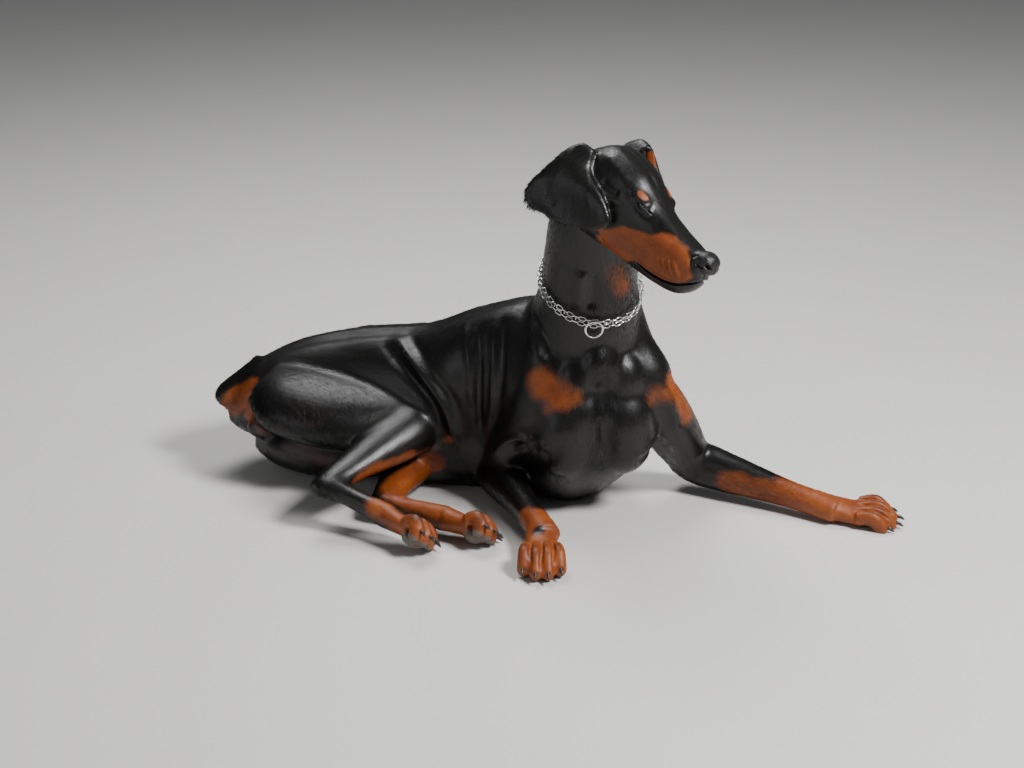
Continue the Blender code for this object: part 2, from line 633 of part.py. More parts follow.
def shaped_head(co, normals, tree):
    """Brows, lids, lips, the pads of the whiskers and the furrow of the skull."""
    eye = Vector(EYE_CENTRE) + Vector(EYE_OUT).normalized() * EYE_RADIUS
    slit = Vector(EYE_SLIT).normalized() * 0.014
    for side in (-1, 1):
        for points, width, height in (
                ([eye - slit + Vector((0.004, 0.002, 0.006)), eye + Vector((0.005, 0.002, 0.007)),
                  eye + slit + Vector((0.002, 0.001, 0.004))], 0.0035, 0.0018),
                ([eye - slit - UP * 0.006, eye - UP * 0.0065, eye + slit - UP * 0.006], 0.0035, 0.0014),
                ([eye - slit * 1.4 - UP * 0.014, eye - UP * 0.015, eye + slit * 1.3 - UP * 0.013],
                 0.0050, -0.0018),
                ([(x, 0.030, z + 0.007) for x, z in MOUTH[1:6]], 0.0050, 0.0020),
                ([(0.058, 0.032, -0.062), (0.070, 0.031, -0.075)], 0.0030, -0.0012),
                ([(0.072, 0.031, -0.058), (0.084, 0.030, -0.071)], 0.0030, -0.0012),
                ([(-0.098, 0.030, 0.034), (-0.070, 0.034, 0.030), (-0.040, 0.036, 0.018)], 0.0100, 0.0020),
                ([(0.020, 0.020, -0.016), (0.045, 0.021, -0.024), (0.072, 0.021, -0.028)], 0.0090, -0.0022)):
            drawn(co, normals, tree, to_head([tuple(p) for p in points], side), width, height)
    furrow = to_head([(-0.110, 0, 0.038), (-0.080, 0, 0.040), (-0.045, 0, 0.030), (-0.015, 0, 0.010)])
    drawn(co, normals, tree, furrow, 0.0060, -0.0020)


def grown_skin():
    """All forms grown into one closed skin, with its folds, cut level where it lies on the floor."""
    skin = with_modifier(mesh_of(body_forms()), "REMESH", mode="VOXEL", voxel_size=VOXEL)
    skin = with_modifier(skin, "SMOOTH", factor=0.5, iterations=RELAX)
    head = [head_matrix() @ Vector((0, 0, -0.03))]
    paws = paw_centres()
    co = points_of(skin)
    plain = ~(near(co, head, HEAD_REACH - 0.03) | near(co, paws, PAW_REACH))
    skin = with_modifier(skin, "SMOOTH", group=plain, factor=0.5, iterations=BODY_RELAX)
    skin = refined(skin, near(points_of(skin), head, HEAD_REACH - 0.02))
    tree, co, normals = tree_of(skin), points_of(skin), normals_of(skin)
    for shape in (shaped_body, shaped_head, shaped_paws):
        shape(co, normals, tree)
    set_points(skin, co)
    skin = with_modifier(skin, "TRIANGULATE")
    regions = (
        lambda co: ~(near(co, head, HEAD_REACH) | near(co, paws, PAW_REACH)),
        lambda co: near(co, paws, PAW_REACH),
        lambda co: near(co, head, HEAD_REACH),
    )
    for region, triangles in zip(regions, (BODY_TRIANGLES, PAW_TRIANGLES, HEAD_TRIANGLES)):
        free = region(points_of(skin))
        others = sum(1 for face in skin.polygons if not any(free[v] for v in face.vertices))
        ratio = (others + triangles) / len(skin.polygons)
        skin = with_modifier(skin, "DECIMATE", group=free, ratio=ratio, vertex_group_factor=1)
    return combined(skin, box_mesh((0, 0, -0.5), (3, 3, 1.0)), "DIFFERENCE")


def combined(mesh, other, operation):
    """Exact union, cut or overlap of two closed meshes."""
    tool = bpy.data.objects.new("tool", other)
    bpy.context.scene.collection.objects.link(tool)
    tool.hide_render = True
    tool.display_type = "WIRE"
    result = with_modifier(mesh, "BOOLEAN", object=tool, operation=operation, solver="MANIFOLD")
    bpy.data.objects.remove(tool)
    return result


def largest_body(mesh):
    """Only the largest closed surface of a mesh."""
    bm = bmesh.new()
    bm.from_mesh(mesh)
    seen, best = set(), []
    for start in bm.verts:
        if start in seen:
            continue
        seen.add(start)
        island, queue = [], [start]
        while queue:
            vert = queue.pop()
            island.append(vert)
            for edge in vert.link_edges:
                other = edge.other_vert(vert)
                if other not in seen:
                    seen.add(other)
                    queue.append(other)
        if len(island) > len(best):
            best = island
    keep = set(best)
    bmesh.ops.delete(bm, geom=[v for v in bm.verts if v not in keep], context="VERTS")
    bmesh.ops.triangulate(bm, faces=bm.faces)
    return mesh_of(bm)


def welded(mesh):
    """Mesh without its shortest edges, by the largest weld that leaves it closed."""
    for distance in WELDS:
        bm = bmesh.new()
        bm.from_mesh(mesh)
        bmesh.ops.remove_doubles(bm, verts=bm.verts, dist=distance)
        bmesh.ops.dissolve_degenerate(bm, dist=distance, edges=bm.edges)
        bmesh.ops.triangulate(bm, faces=bm.faces)
        if all(edge.is_manifold for edge in bm.edges) and all(len(v.link_edges) > 2 for v in bm.verts):
            return mesh_of(bm)
        bm.free()
    return mesh


def grown(mesh, amount):
    """Copy of a mesh pushed out along its normals."""
    copy = mesh.copy()
    set_points(copy, points_of(copy) + normals_of(copy) * amount)
    return copy


def box_mesh(centre, size, axis=None, up=UP):
    """Box; its first size runs along axis."""
    bm = bmesh.new()
    bmesh.ops.create_cube(bm, size=1)
    turn = Matrix.Identity(3)
    if axis is not None:
        x = Vector(axis).normalized()
        y = Vector(up).cross(x).normalized()
        turn = Matrix((x, y, x.cross(y))).transposed()
    place = Matrix.Translation(centre) @ turn.to_4x4() @ Matrix.Diagonal((*size, 1))
    bmesh.ops.transform(bm, matrix=place, verts=bm.verts)
    bmesh.ops.triangulate(bm, faces=bm.faces)
    return mesh_of(bm)


def half_space(point, axis, size=0.4, depth=0.4):
    """Box whose near face passes through point, reaching depth along axis."""
    axis = Vector(axis).normalized()
    up = UP if abs(axis.z) < 0.8 else Vector((1, 0, 0))
    return box_mesh(Vector(point) + axis * depth / 2, (depth, size, size), axis, up)


def limb_cutter(flat, stations):
    """Eight-sided capsule round one length of a limb."""
    bm = bmesh.new()
    add_limb(bm, flat, stations, sides=8, steps=1)
    bmesh.ops.triangulate(bm, faces=bm.faces)
    return mesh_of(bm)


def cutters():
    """Region of each body piece, in the order they are parted from the skin."""
    result = []
    for name in PAWS:
        ankle, forward, side, up, length, width = paw_frame(name)
        start = 0.012 if "fore" in name else -0.002
        result.append((f"paw_{name}", limb_cutter(up, [
            (ankle + forward * start, 0.048, 0.046),
            (ankle + forward * length * 1.08, 0.048, 0.048)])))
    for side in ("right", "left"):
        elbow, wrist = LEGS[f"fore_{side}"][1:]
        along = (wrist - elbow).normalized()
        result.append((f"forearm_{side}", half_space(elbow + along * 0.035, along, 0.14, 0.30)))
        flat = FLAT[f"hind_{side}"]
        knee, hock, toes = LEGS[f"hind_{side}"][1:]
        down = (toes - hock).normalized()
        back = (hock - knee).normalized()
        result.append((f"metatarsus_{side}", limb_cutter(flat, [
            (hock + down * 0.022, 0.045, 0.036), (toes + down * 0.03, 0.045, 0.036)])))
        result.append((f"shank_{side}", limb_cutter(flat, [
            (knee + back * 0.055, 0.060, 0.058), (knee.lerp(hock, 0.6), 0.055, 0.055),
            (hock + back * 0.05, 0.055, 0.055)])))
    for side in ("right", "left"):
        flat = FLAT[f"hind_{side}"]
        hip, knee, hock = LEGS[f"hind_{side}"][:3]
        back = (hock - knee).normalized()
        result.append((f"thigh_{side}", limb_cutter(flat, [
            (hip - (knee - hip) * 0.30 + back * 0.03, 0.060, 0.080),
            (hip + back * 0.045, 0.070, 0.105),
            (hip.lerp(knee, 0.35) + back * 0.045, 0.075, 0.105),
            (hip.lerp(knee, 0.7) + back * 0.03, 0.065, 0.090),
            (knee + back * 0.01, 0.060, 0.075), (knee.lerp(hip, -0.4), 0.050, 0.060)])))
        flat = FLAT[f"fore_{side}"]
        shoulder, elbow = LEGS[f"fore_{side}"][:2]
        back = (elbow - shoulder).normalized()
        out = flat.normalized() * 0.012
        result.append((f"upper_arm_{side}", limb_cutter(flat, [
            (shoulder - back * 0.02 + out, 0.045, 0.052), (shoulder.lerp(elbow, 0.5) + out, 0.050, 0.072),
            (elbow + out, 0.052, 0.065), (elbow + back * 0.05 + out, 0.050, 0.060)])))
    result.append(("tail", half_space(TAIL_ROOT.lerp(TAIL_TIP, 0.1), TAIL_TIP - TAIL_ROOT, 0.09, 0.12)))
    for name, point, axis, size, depth in (
            ("head", (0.090, -0.032, 0.515), (0.25, -0.30, 0.92), 0.62, 0.36),
            ("neck", (0.071, 0.015, 0.350), (0.02, 0.28, 0.96), 0.40, 0.36),
            ("chest", (-0.085, 0.118, 0.170), (0.80, -0.58, 0.08), 0.60, 0.50),
            ("rump", (-0.335, 0.180, 0.150), (-1, 0.12, 0.0), 0.60, 0.40)):
        result.append((name, half_space(point, axis, size, depth)))
    return result


def add_part(name, mesh, parts, material):
    """Object of one piece, closed and shaded smooth."""
    mesh = welded(mesh)
    mesh.name = name
    mesh.shade_smooth()
    mesh.set_sharp_from_angle(angle=math.radians(50))
    mesh.materials.clear()
    mesh.materials.append(material)
    part = bpy.data.objects.new(name, mesh)
    parts.objects.link(part)


def plain_material(name, colour, roughness, metallic=0.0):
    material = bpy.data.materials.new(name)
    material.use_nodes = True
    shader = material.node_tree.nodes["Principled BSDF"]
    shader.inputs["Base Color"].default_value = (*colour, 1)
    shader.inputs["Roughness"].default_value = roughness
    shader.inputs["Metallic"].default_value = metallic
    return material


def head_ball(centre, radii, axis=None, segments=16):
    """Closed ellipsoid placed in the head frame."""
    bm = bmesh.new()
    add_ball(bm, centre, radii, axis, UP, segments)
    bmesh.ops.triangulate(bm, faces=bm.faces)
    mesh = mesh_of(bm)
    mesh.transform(head_matrix())
    return mesh


def jaw_cutter():
    """Everything below the line of the mouth, in front of its corners."""
    line = [*MOUTH, (0.160, -0.060), (0.160, -0.150), (MOUTH[0][0], -0.150)]
    bm = bmesh.new()
    rings = [[bm.verts.new((x, y, z)) for x, z in line] for y in (-0.06, 0.06)]
    bm.faces.new(rings[0])
    bm.faces.new(list(reversed(rings[1])))
    for k in range(len(line)):
        bm.faces.new((rings[0][k], rings[0][k - 1], rings[1][k - 1], rings[1][k]))
    bmesh.ops.triangulate(bm, faces=bm.faces)
    mesh = mesh_of(bm)
    mesh.transform(head_matrix())
    return mesh


def split_head(head, parts, materials):
    """Lower jaw, nose with nostrils, eyes in narrow slits between their lids, and hanging ears."""
    cutter = jaw_cutter()
    jaw = largest_body(combined(head, cutter, "INTERSECT"))
    add_part("lower_jaw", jaw, parts, materials["rust coat"])
    head = largest_body(combined(head, grown(cutter, GAP * 1.5), "DIFFERENCE"))
    pad = head_ball(NOSE_CENTRE, NOSE_RADII)
    nose = combined(head, pad, "INTERSECT")
    head = largest_body(combined(head, grown(pad, GAP * 1.5), "DIFFERENCE"))
    for side in (-1, 1):
        for centre, radii, axis in (
                ((0.1375, 0.0085 * side, -0.0365), (0.0080, 0.0036, 0.0042), (1, 0.5 * side, 0.2)),
                ((0.1290, 0.0170 * side, -0.0400), (0.0080, 0.0030, 0.0016), (1, -0.7 * side, 0.2))):
            nose = combined(nose, head_ball(centre, radii, axis, 8), "DIFFERENCE")
    add_part("nose", largest_body(nose), parts, materials["nose"])
    for side, name in ((-1, "right"), (1, "left")):
        centre = Vector((EYE_CENTRE[0], EYE_CENTRE[1] * side, EYE_CENTRE[2]))
        outward = Vector((EYE_OUT[0], EYE_OUT[1] * side, EYE_OUT[2])).normalized()
        along = Vector((EYE_SLIT[0], EYE_SLIT[1] * side, EYE_SLIT[2]))
        socket = head_ball(centre, (EYE_RADIUS + GAP * 1.5,) * 3, segments=14)
        slit = head_ball(centre + outward * EYE_RADIUS * 1.1, (0.0125, 0.0080, 0.0021), along, 12)
        for cutter in (socket, slit):
            head = combined(head, cutter, "DIFFERENCE")
        eye = head_ball(centre, (EYE_RADIUS,) * 3, segments=14)
        add_part(f"eye_{name}", eye, parts, materials["eye"])
    head = largest_body(head)
    for side, name in ((-1, "right"), (1, "left")):
        flap = with_modifier(mesh_of(ear_surface(side, EAR_STEPS)), "SOLIDIFY", offset=0,
                             thickness=EAR_THICKNESS)
        flap.transform(head_matrix())
        flap = with_modifier(flap, "TRIANGULATE")
        flap = largest_body(combined(flap, grown(head, GAP * 1.3), "DIFFERENCE"))
        add_part(f"ear_{name}", flap, parts, materials["black coat"])
    return head


def collar_path(skin):
    """Closed line round the neck just clear of the skin: points and outward directions."""
    tree = tree_of(skin)
    axis = COLLAR_AXIS.normalized()
    front = Vector((0.12, -1, 0))
    front = (front - axis * front.dot(axis)).normalized()
    across = axis.cross(front)
    turns = [2 * math.pi * k / COLLAR_STEPS for k in range(COLLAR_STEPS)]
    rays = [front * math.cos(turn) + across * math.sin(turn) for turn in turns]
    radii = []
    for ray in rays:
        levels = (COLLAR_CENTRE + axis * rise for rise in (-ROW_GAP - WIRE, 0, ROW_GAP + WIRE))
        radii.append(max((tree.ray_cast(level + ray * 0.25, -ray)[0] - level).length for level in levels))
    radii = np.array(radii)
    for _ in range(3):
        radii = np.maximum(radii, (np.roll(radii, 1) + np.roll(radii, -1)) / 2)
    return [(COLLAR_CENTRE + ray * (radius + COLLAR_LIFT), ray) for ray, radius in zip(rays, radii)]


def add_closed_wire(bm, turns, radius, sides=4):
    """Closed tube through a ring of points; each turn is a point and its outward direction."""
    rings = []
    count = len(turns)
    for k, (point, normal) in enumerate(turns):
        along = (turns[(k + 1) % count][0] - turns[k - 1][0]).normalized()
        out = (normal - along * normal.dot(along)).normalized()
        up = along.cross(out)
        rings.append([bm.verts.new(point + out * math.cos(a) * radius + up * math.sin(a) * radius)
                      for a in (2 * math.pi * i / sides for i in range(sides))])
    for k in range(count):
        low, high = rings[k - 1], rings[k]
        for i in range(sides):
            bm.faces.new((low[i], low[i - 1], high[i - 1], high[i]))


def add_collar(skin, parts, material):
    """Chain of two rows round the base of the neck, and the ring that hangs in front of it."""
    line = collar_path(skin)
    axis = COLLAR_AXIS.normalized()
    turns = []
    for k, (point, normal) in enumerate(line):
        rise = ROW_GAP if k % 2 else -ROW_GAP
        turns += [(point - axis * rise, normal), (point + axis * rise, normal)]
    wire = bmesh.new()
    add_closed_wire(wire, turns, WIRE)
    add_part("collar_chain", with_modifier(mesh_of(wire), "TRIANGULATE"), parts, material)
    point, normal = line[0]
    down = (normal * 0.35 - axis).normalized()
    out = (normal - down * normal.dot(down)).normalized()
    side = down.cross(out)
    centre = point + out * (WIRE + RING_WIRE + ROW_GAP * 0.4) + down * RING_RADIUS * 0.55
    spokes = [side * math.cos(a) + down * math.sin(a) for a in (math.pi * i / 9 for i in range(18))]
    ring = bmesh.new()
    add_closed_wire(ring, [(centre + spoke * RING_RADIUS, spoke) for spoke in spokes], RING_WIRE)
    add_part("collar_ring", with_modifier(mesh_of(ring), "TRIANGULATE"), parts, material)


def main():
    for old in list(bpy.data.objects):
        bpy.data.objects.remove(old)
    parts = bpy.data.collections.new("doberman")
    bpy.context.scene.collection.children.link(parts)
    materials = {
        "black coat": plain_material("black coat", (0.012, 0.011, 0.010), 0.4),
        "rust coat": plain_material("rust coat", (0.30, 0.09, 0.02), 0.5),
        "nose": plain_material("nose", (0.02, 0.02, 0.02), 0.35),
        "claw": plain_material("claw", (0.03, 0.027, 0.025), 0.4),
        "eye": plain_material("eye", (0.05, 0.02, 0.01), 0.1),
        "steel": plain_material("steel", (0.7, 0.7, 0.68), 0.2, 1.0),
    }
    rest = grown_skin()
    whole = rest.copy()
    for name, cutter in cutters():
        piece = largest_body(combined(rest, cutter, "INTERSECT"))
        rest = largest_body(combined(rest, grown(cutter, GAP * 1.5), "DIFFERENCE"))
        if name.startswith("paw"):
            body = grown(piece, GAP * 1.3)
            for k, claw in enumerate(claws_of(name[4:], sides=6, steps=1), 1):
                claw = largest_body(combined(mesh_of(claw), body, "DIFFERENCE"))
                add_part(f"claw_{name[4:]}_{k}", claw, parts, materials["claw"])
        if name == "head":
            piece = split_head(piece, parts, materials)
        rust = name.startswith(("paw", "metatarsus"))
        add_part(name, piece, parts, materials["rust coat" if rust else "black coat"])
    add_part("barrel", rest, parts, materials["black coat"])
    add_collar(whole, parts, materials["steel"])
    for part in parts.objects:
        part.data.transform(Matrix.Translation(-MIDDLE))


main()
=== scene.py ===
"""Looks of a doberman pinscher lying with its hips rolled to the left.

One fine skin grows from the same muscle forms as the solids and replaces them. Folds, lids,
lips and wrinkles are drawn into it as soft ridges and valleys, and a short coat lies over it.
Lengths are metres. The dog is shaped in its own frame and set down MIDDLE lower at the end.
"""
import math
from collections import namedtuple

import bmesh
import bpy
import numpy as np
from mathutils import Matrix, Vector
from mathutils.bvhtree import BVHTree


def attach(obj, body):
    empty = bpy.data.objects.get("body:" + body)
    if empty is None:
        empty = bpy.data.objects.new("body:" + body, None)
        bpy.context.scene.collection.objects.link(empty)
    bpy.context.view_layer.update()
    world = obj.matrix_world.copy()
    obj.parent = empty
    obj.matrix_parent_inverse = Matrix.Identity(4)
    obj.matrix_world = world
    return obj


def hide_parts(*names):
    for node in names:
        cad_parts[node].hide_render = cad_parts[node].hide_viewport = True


# Main sizes of a large male
HUMERUS = 0.180
FOREARM = 0.235
FORE_PAW = 0.142
FEMUR = 0.200
TIBIA = 0.220
METATARSUS = 0.118
HIND_PAW = 0.100
EAR_THICKNESS = 0.005
MIDDLE = Vector((0.014, -0.003, 0))

# Skin: size of its grid, rounds of smoothing for the body, the head and feet, and the ears
SKIN_VOXEL = 0.0024
BODY_RELAX = 70
RELAX = 12
EAR_RELAX = 3
COAT_DEPTH = 0.0008
FLOOR_GAP = 0.0004

# Coat: the tufts, their places on the unwrapped skin, and the run of the fine hair
TUFTS = 64000
TUFTS_IN_PIECE = 16000
TUFT_LENGTH = 0.0065
TUFT_WIDTH = 0.00075
TUFT_SEED = 7
FLAT_DENSITY = 0.22
RUFFLED_DENSITY = 1.2
PATCH = 0.003
TILES = 6
TILE_MARGIN = 0.03
STRETCH = 0.12
SEAM = 0.004
BONE_END = 0.12

# Chain collar: centre and axis of its loop, wires and links, and the ring
COLLAR_CENTRE = Vector((0.073, 0.018, 0.384))
COLLAR_AXIS = Vector((0.16, -0.475, 0.865))
COLLAR_STEPS = 92
COLLAR_LIFT = 0.0034
ROW_GAP = 0.0055
LINK_WIRE = 0.0010
LINK_PITCH = 0.0098
LINK_LENGTH = 0.0128
LINK_WIDTH = 0.0074
RING_RADIUS = 0.0135
RING_WIRE = 0.0018

# The photograph's view, from the dog's own frame
CAMERA_PLACE = Vector((-0.05, -2.98, 1.36))
CAMERA_DOWN = 21
FOCAL_PIXELS = 2000
PICTURE_WIDTH = 1024
SENSOR = 36


def limb_points(start, *steps):
    """Joints of one leg: each step is a direction and the length of the bone along it."""
    points = [Vector(start)]
    for direction, length in steps:
        points.append(points[-1] + Vector(direction).normalized() * length)
    return points


# The lying pose: where each leg starts, in metres, and the way its bones point
LEGS = {
    "fore_right": limb_points((-0.005, -0.020, 0.185), ((-80, 90, -145), HUMERUS),
                              ((73, -212, -8), FOREARM)),
    "fore_left": limb_points((0.166, 0.012, 0.200), ((80, 64, -148), HUMERUS),
                             ((200, -120, -27), FOREARM)),
    "hind_right": limb_points((-0.385, 0.150, 0.155), ((183, -72, -34), FEMUR),
                              ((-142, -163, -42), TIBIA), ((108, -50, -38), METATARSUS)),
    "hind_left": limb_points((-0.400, 0.205, 0.055), ((194, -45, -13), FEMUR),
                             ((-49, -214, -6), TIBIA), ((108, -63, -4), METATARSUS)),
}
WITHERS = Vector((-0.015, 0.085, 0.330))
TAIL_ROOT = Vector((-0.495, 0.190, 0.150))
TAIL_TIP = Vector((-0.548, 0.175, 0.118))
UP = Vector((0, 0, 1))

# Thin direction of each leg, and how each paw lies
FLAT = {
    "fore_right": Vector((-0.8, -0.4, 0.3)),
    "fore_left": Vector((0.5, 0.8, 0.3)),
    "hind_right": Vector((0.1, -0.25, 1)),
    "hind_left": Vector((0.0, 0.1, 1)),
}
PAWS = {
    "fore_right": dict(forward=(0.0, -1, -0.12), up=(0, 0, 1), length=FORE_PAW, width=0.072),
    "fore_left": dict(forward=(1, -0.25, -0.06), up=(0.1, -0.2, 1), length=FORE_PAW, width=0.070),
    "hind_right": dict(forward=(0.8, -0.55, -0.08), up=(-0.35, 0.75, 0.55), length=HIND_PAW,
                       width=0.068),
    "hind_left": dict(forward=(0.85, -0.4, 0.0), up=(-0.35, 0.75, 0.60), length=HIND_PAW,
                      width=0.068),
}

# Head frame: origin at the stop between the eyes, +X to the nose, +Y to the dog's left
HEAD_PLACE = Vector((0.168, -0.134, 0.555))
HEAD_TURN = (-50, -17.5, -8)
HEAD_MIDDLE = (0, 0, -0.03)
EYE_CENTRE = Vector((-0.004, 0.0245, -0.0075))
EYE_RADIUS = 0.0108
EYEBALL = 0.0102
LID_THICKNESS = 0.0009
EYE_OUT = Vector((0.55, 0.80, 0.20)).normalized()
EYE_SLIT = Vector((0.80, -0.50, -0.36)).normalized()
EYE_FRONT = EYE_CENTRE + EYE_OUT * EYE_RADIUS


def heading(degrees):
    """Level unit vector at an angle from +X toward +Y."""
    angle = math.radians(degrees)
    return Vector((math.cos(angle), math.sin(angle), 0))


def smooth_rows(rows, steps):
    """Catmull-Rom through the rows of numbers, with the ends held."""
    rows = np.array(rows, dtype=float)
    padded = np.vstack([2 * rows[0] - rows[1], rows, 2 * rows[-1] - rows[-2]])
    result = []
    for i in range(len(rows) - 1):
        a, b, c, d = padded[i:i + 4]
        for t in np.arange(steps) / steps:
            result.append(0.5 * (2 * b + (c - a) * t + (2 * a - 5 * b + 4 * c - d) * t ** 2
                                 + (3 * b - a - 3 * c + d) * t ** 3))
    result.append(rows[-1])
    return np.array(result)


def add_loft(forms, rows, sides=28, steps=5, power=2.0):
    """Closed loft; a row is centre, side axis, up axis, half width, half height up and down."""
    rings = []
    for row in smooth_rows([[*c, *s, *u, w, hu, hd] for c, s, u, w, hu, hd in rows], steps):
        centre = Vector(row[0:3])
        side = Vector(row[3:6]).normalized()
        up = Vector(row[6:9]).normalized()
        ring = []
        for k in range(sides):
            angle = 2 * math.pi * k / sides
            cos, sin = math.cos(angle), math.sin(angle)
            x = math.copysign(abs(cos) ** (2 / power), cos) * row[9]
            z = math.copysign(abs(sin) ** (2 / power), sin) * (row[10] if sin > 0 else row[11])
            ring.append(forms.verts.new(centre + side * x + up * z))
        rings.append(ring)
    for low, high in zip(rings, rings[1:]):
        for k in range(sides):
            forms.faces.new((low[k], low[k - 1], high[k - 1], high[k]))
    forms.faces.new(rings[0])
    forms.faces.new(list(reversed(rings[-1])))


def add_limb(forms, flat, stations, **options):
    """Loft along a limb; a station is its centre, half size along flat, and half size across."""
    centres = [Vector(c) for c, _, _ in stations]
    rows = []
    for i, (centre, thin, deep) in enumerate(stations):
        along = centres[min(i + 1, len(centres) - 1)] - centres[max(i - 1, 0)]
        side = (flat - along * flat.dot(along) / along.length_squared).normalized()
        up = along.cross(side).normalized()
        rows.append((Vector(centre), side, up, thin, deep, deep))
    add_loft(forms, rows, **options)


def add_ball(forms, centre, radii, axis=None, up=UP, segments=20):
    """Ellipsoid; the first radius runs along axis, the third along up."""
    verts = bmesh.ops.create_uvsphere(forms, u_segments=segments, v_segments=segments * 3 // 5,
                                      radius=1)["verts"]
    turn = Matrix.Identity(3)
    if axis is not None:
        x = Vector(axis).normalized()
        y = Vector(up).cross(x).normalized()
        turn = Matrix((x, y, x.cross(y))).transposed()
    place = Matrix.Translation(centre) @ turn.to_4x4() @ Matrix.Diagonal((*radii, 1))
    bmesh.ops.transform(forms, matrix=place, verts=verts)


def add_trunk(forms):
    """Thorax turned toward -Y, waist, and the pelvis rolled on to its left side."""
    def station(centre, turn, roll, width, up, down):
        side = heading(turn + 90)
        tilt = math.radians(roll)
        lean = UP * math.cos(tilt) + side * math.sin(tilt)
        side = side * math.cos(tilt) - UP * math.sin(tilt)
        return Vector(centre), side, lean, width, up, down

    add_loft(forms, [
        station((-0.530, 0.190, 0.105), -5, 40, 0.020, 0.020, 0.025),
        station((-0.505, 0.192, 0.112), -5, 40, 0.055, 0.050, 0.052),
        station((-0.455, 0.195, 0.124), -8, 38, 0.084, 0.071, 0.075),
        station((-0.390, 0.190, 0.132), -12, 32, 0.092, 0.095, 0.100),
        station((-0.300, 0.178, 0.142), -16, 20, 0.090, 0.106, 0.140),
        station((-0.190, 0.150, 0.140), -22, 8, 0.100, 0.126, 0.152),
        station((-0.090, 0.118, 0.155), -38, -2, 0.110, 0.155, 0.168),
        station((0.000, 0.085, 0.170), -52, -6, 0.112, 0.168, 0.180),
        station((0.050, 0.030, 0.175), -60, -6, 0.112, 0.140, 0.178),
        station((0.090, -0.025, 0.170), -62, -4, 0.104, 0.085, 0.120),
        station((0.105, -0.052, 0.170), -62, -2, 0.070, 0.050, 0.080),
        station((0.111, -0.064, 0.170), -62, -2, 0.030, 0.025, 0.040),
    ], power=2.2)
    for centre, radii in (
            ((0.040, -0.040, 0.150), (0.058, 0.050, 0.080)),
            ((0.128, -0.020, 0.150), (0.055, 0.052, 0.080)),
            ((0.050, -0.030, 0.225), (0.040, 0.040, 0.060)),
            ((0.124, -0.014, 0.222), (0.040, 0.040, 0.060)),
            ((0.090, -0.040, 0.262), (0.034, 0.026, 0.040))):
        add_ball(forms, centre, radii, heading(-62 + 90))


def add_shoulder(forms, side):
    """Shoulder blade and the muscle over it, from the withers to the point of the shoulder."""
    point = LEGS[f"fore_{side}"][0]
    crest = WITHERS + Vector((-0.005, -0.015, -0.045))
    flat = Vector((-0.75, -0.55, 0.35))
    if side == "left":
        crest = WITHERS + Vector((0.045, 0.010, -0.040))
        flat = Vector((0.75, 0.45, 0.40))
    add_limb(forms, flat, [
        (crest, 0.020, 0.040),
        (crest.lerp(point, 0.3), 0.036, 0.058),
        (crest.lerp(point, 0.7), 0.042, 0.056),
        (point, 0.044, 0.048),
        (point.lerp(crest, -0.2), 0.025, 0.028),
    ])


def add_neck_base(forms, side):
    """Muscle that runs down the side of the neck to the point of the shoulder."""
    point = LEGS[f"fore_{side}"][0]
    rows = (((0.112, 0.030, 0.370), 0.034), ((0.124, 0.028, 0.320), 0.038),
            ((0.138, 0.024, 0.272), 0.041), ((0.158, 0.016, 0.232), 0.046), (point, 0.046))
    if side == "right":
        rows = (((0.035, 0.010, 0.370), 0.034), ((0.022, 0.004, 0.320), 0.038),
                ((0.010, -0.006, 0.270), 0.042), ((0.002, -0.014, 0.225), 0.044), (point, 0.042))
    add_limb(forms, Vector((0, 1, 0)), [(centre, half, half) for centre, half in rows])


def add_neck(forms):
    """Long arched neck from between the shoulders to the back of the skull."""
    rows = (
        ((0.045, 0.050, 0.220), 20, (-0.20, 0.90, 0.30), 0.108, 0.100, 0.108),
        ((0.066, 0.035, 0.300), 20, (-0.30, 0.85, 0.45), 0.096, 0.090, 0.094),
        ((0.072, 0.020, 0.365), 22, (-0.35, 0.85, 0.30), 0.081, 0.078, 0.082),
        ((0.071, 0.006, 0.430), 26, (-0.40, 0.85, 0.20), 0.074, 0.068, 0.073),
        ((0.075, -0.012, 0.495), 32, (-0.50, 0.80, 0.25), 0.069, 0.064, 0.067),
        ((0.086, -0.030, 0.550), 38, (-0.55, 0.70, 0.45), 0.060, 0.058, 0.066),
        ((0.104, -0.050, 0.585), 40, (-0.50, 0.60, 0.65), 0.044, 0.036, 0.050),
    )
    add_loft(forms, [(Vector(centre), heading(turn), Vector(back), half, rear, front)
                     for centre, turn, back, half, rear, front in rows], steps=6)


def head_matrix():
    turn, pitch, roll = (math.radians(a) for a in HEAD_TURN)
    return (Matrix.Translation(HEAD_PLACE) @ Matrix.Rotation(turn, 4, "Z")
            @ Matrix.Rotation(-pitch, 4, "Y") @ Matrix.Rotation(roll, 4, "X"))


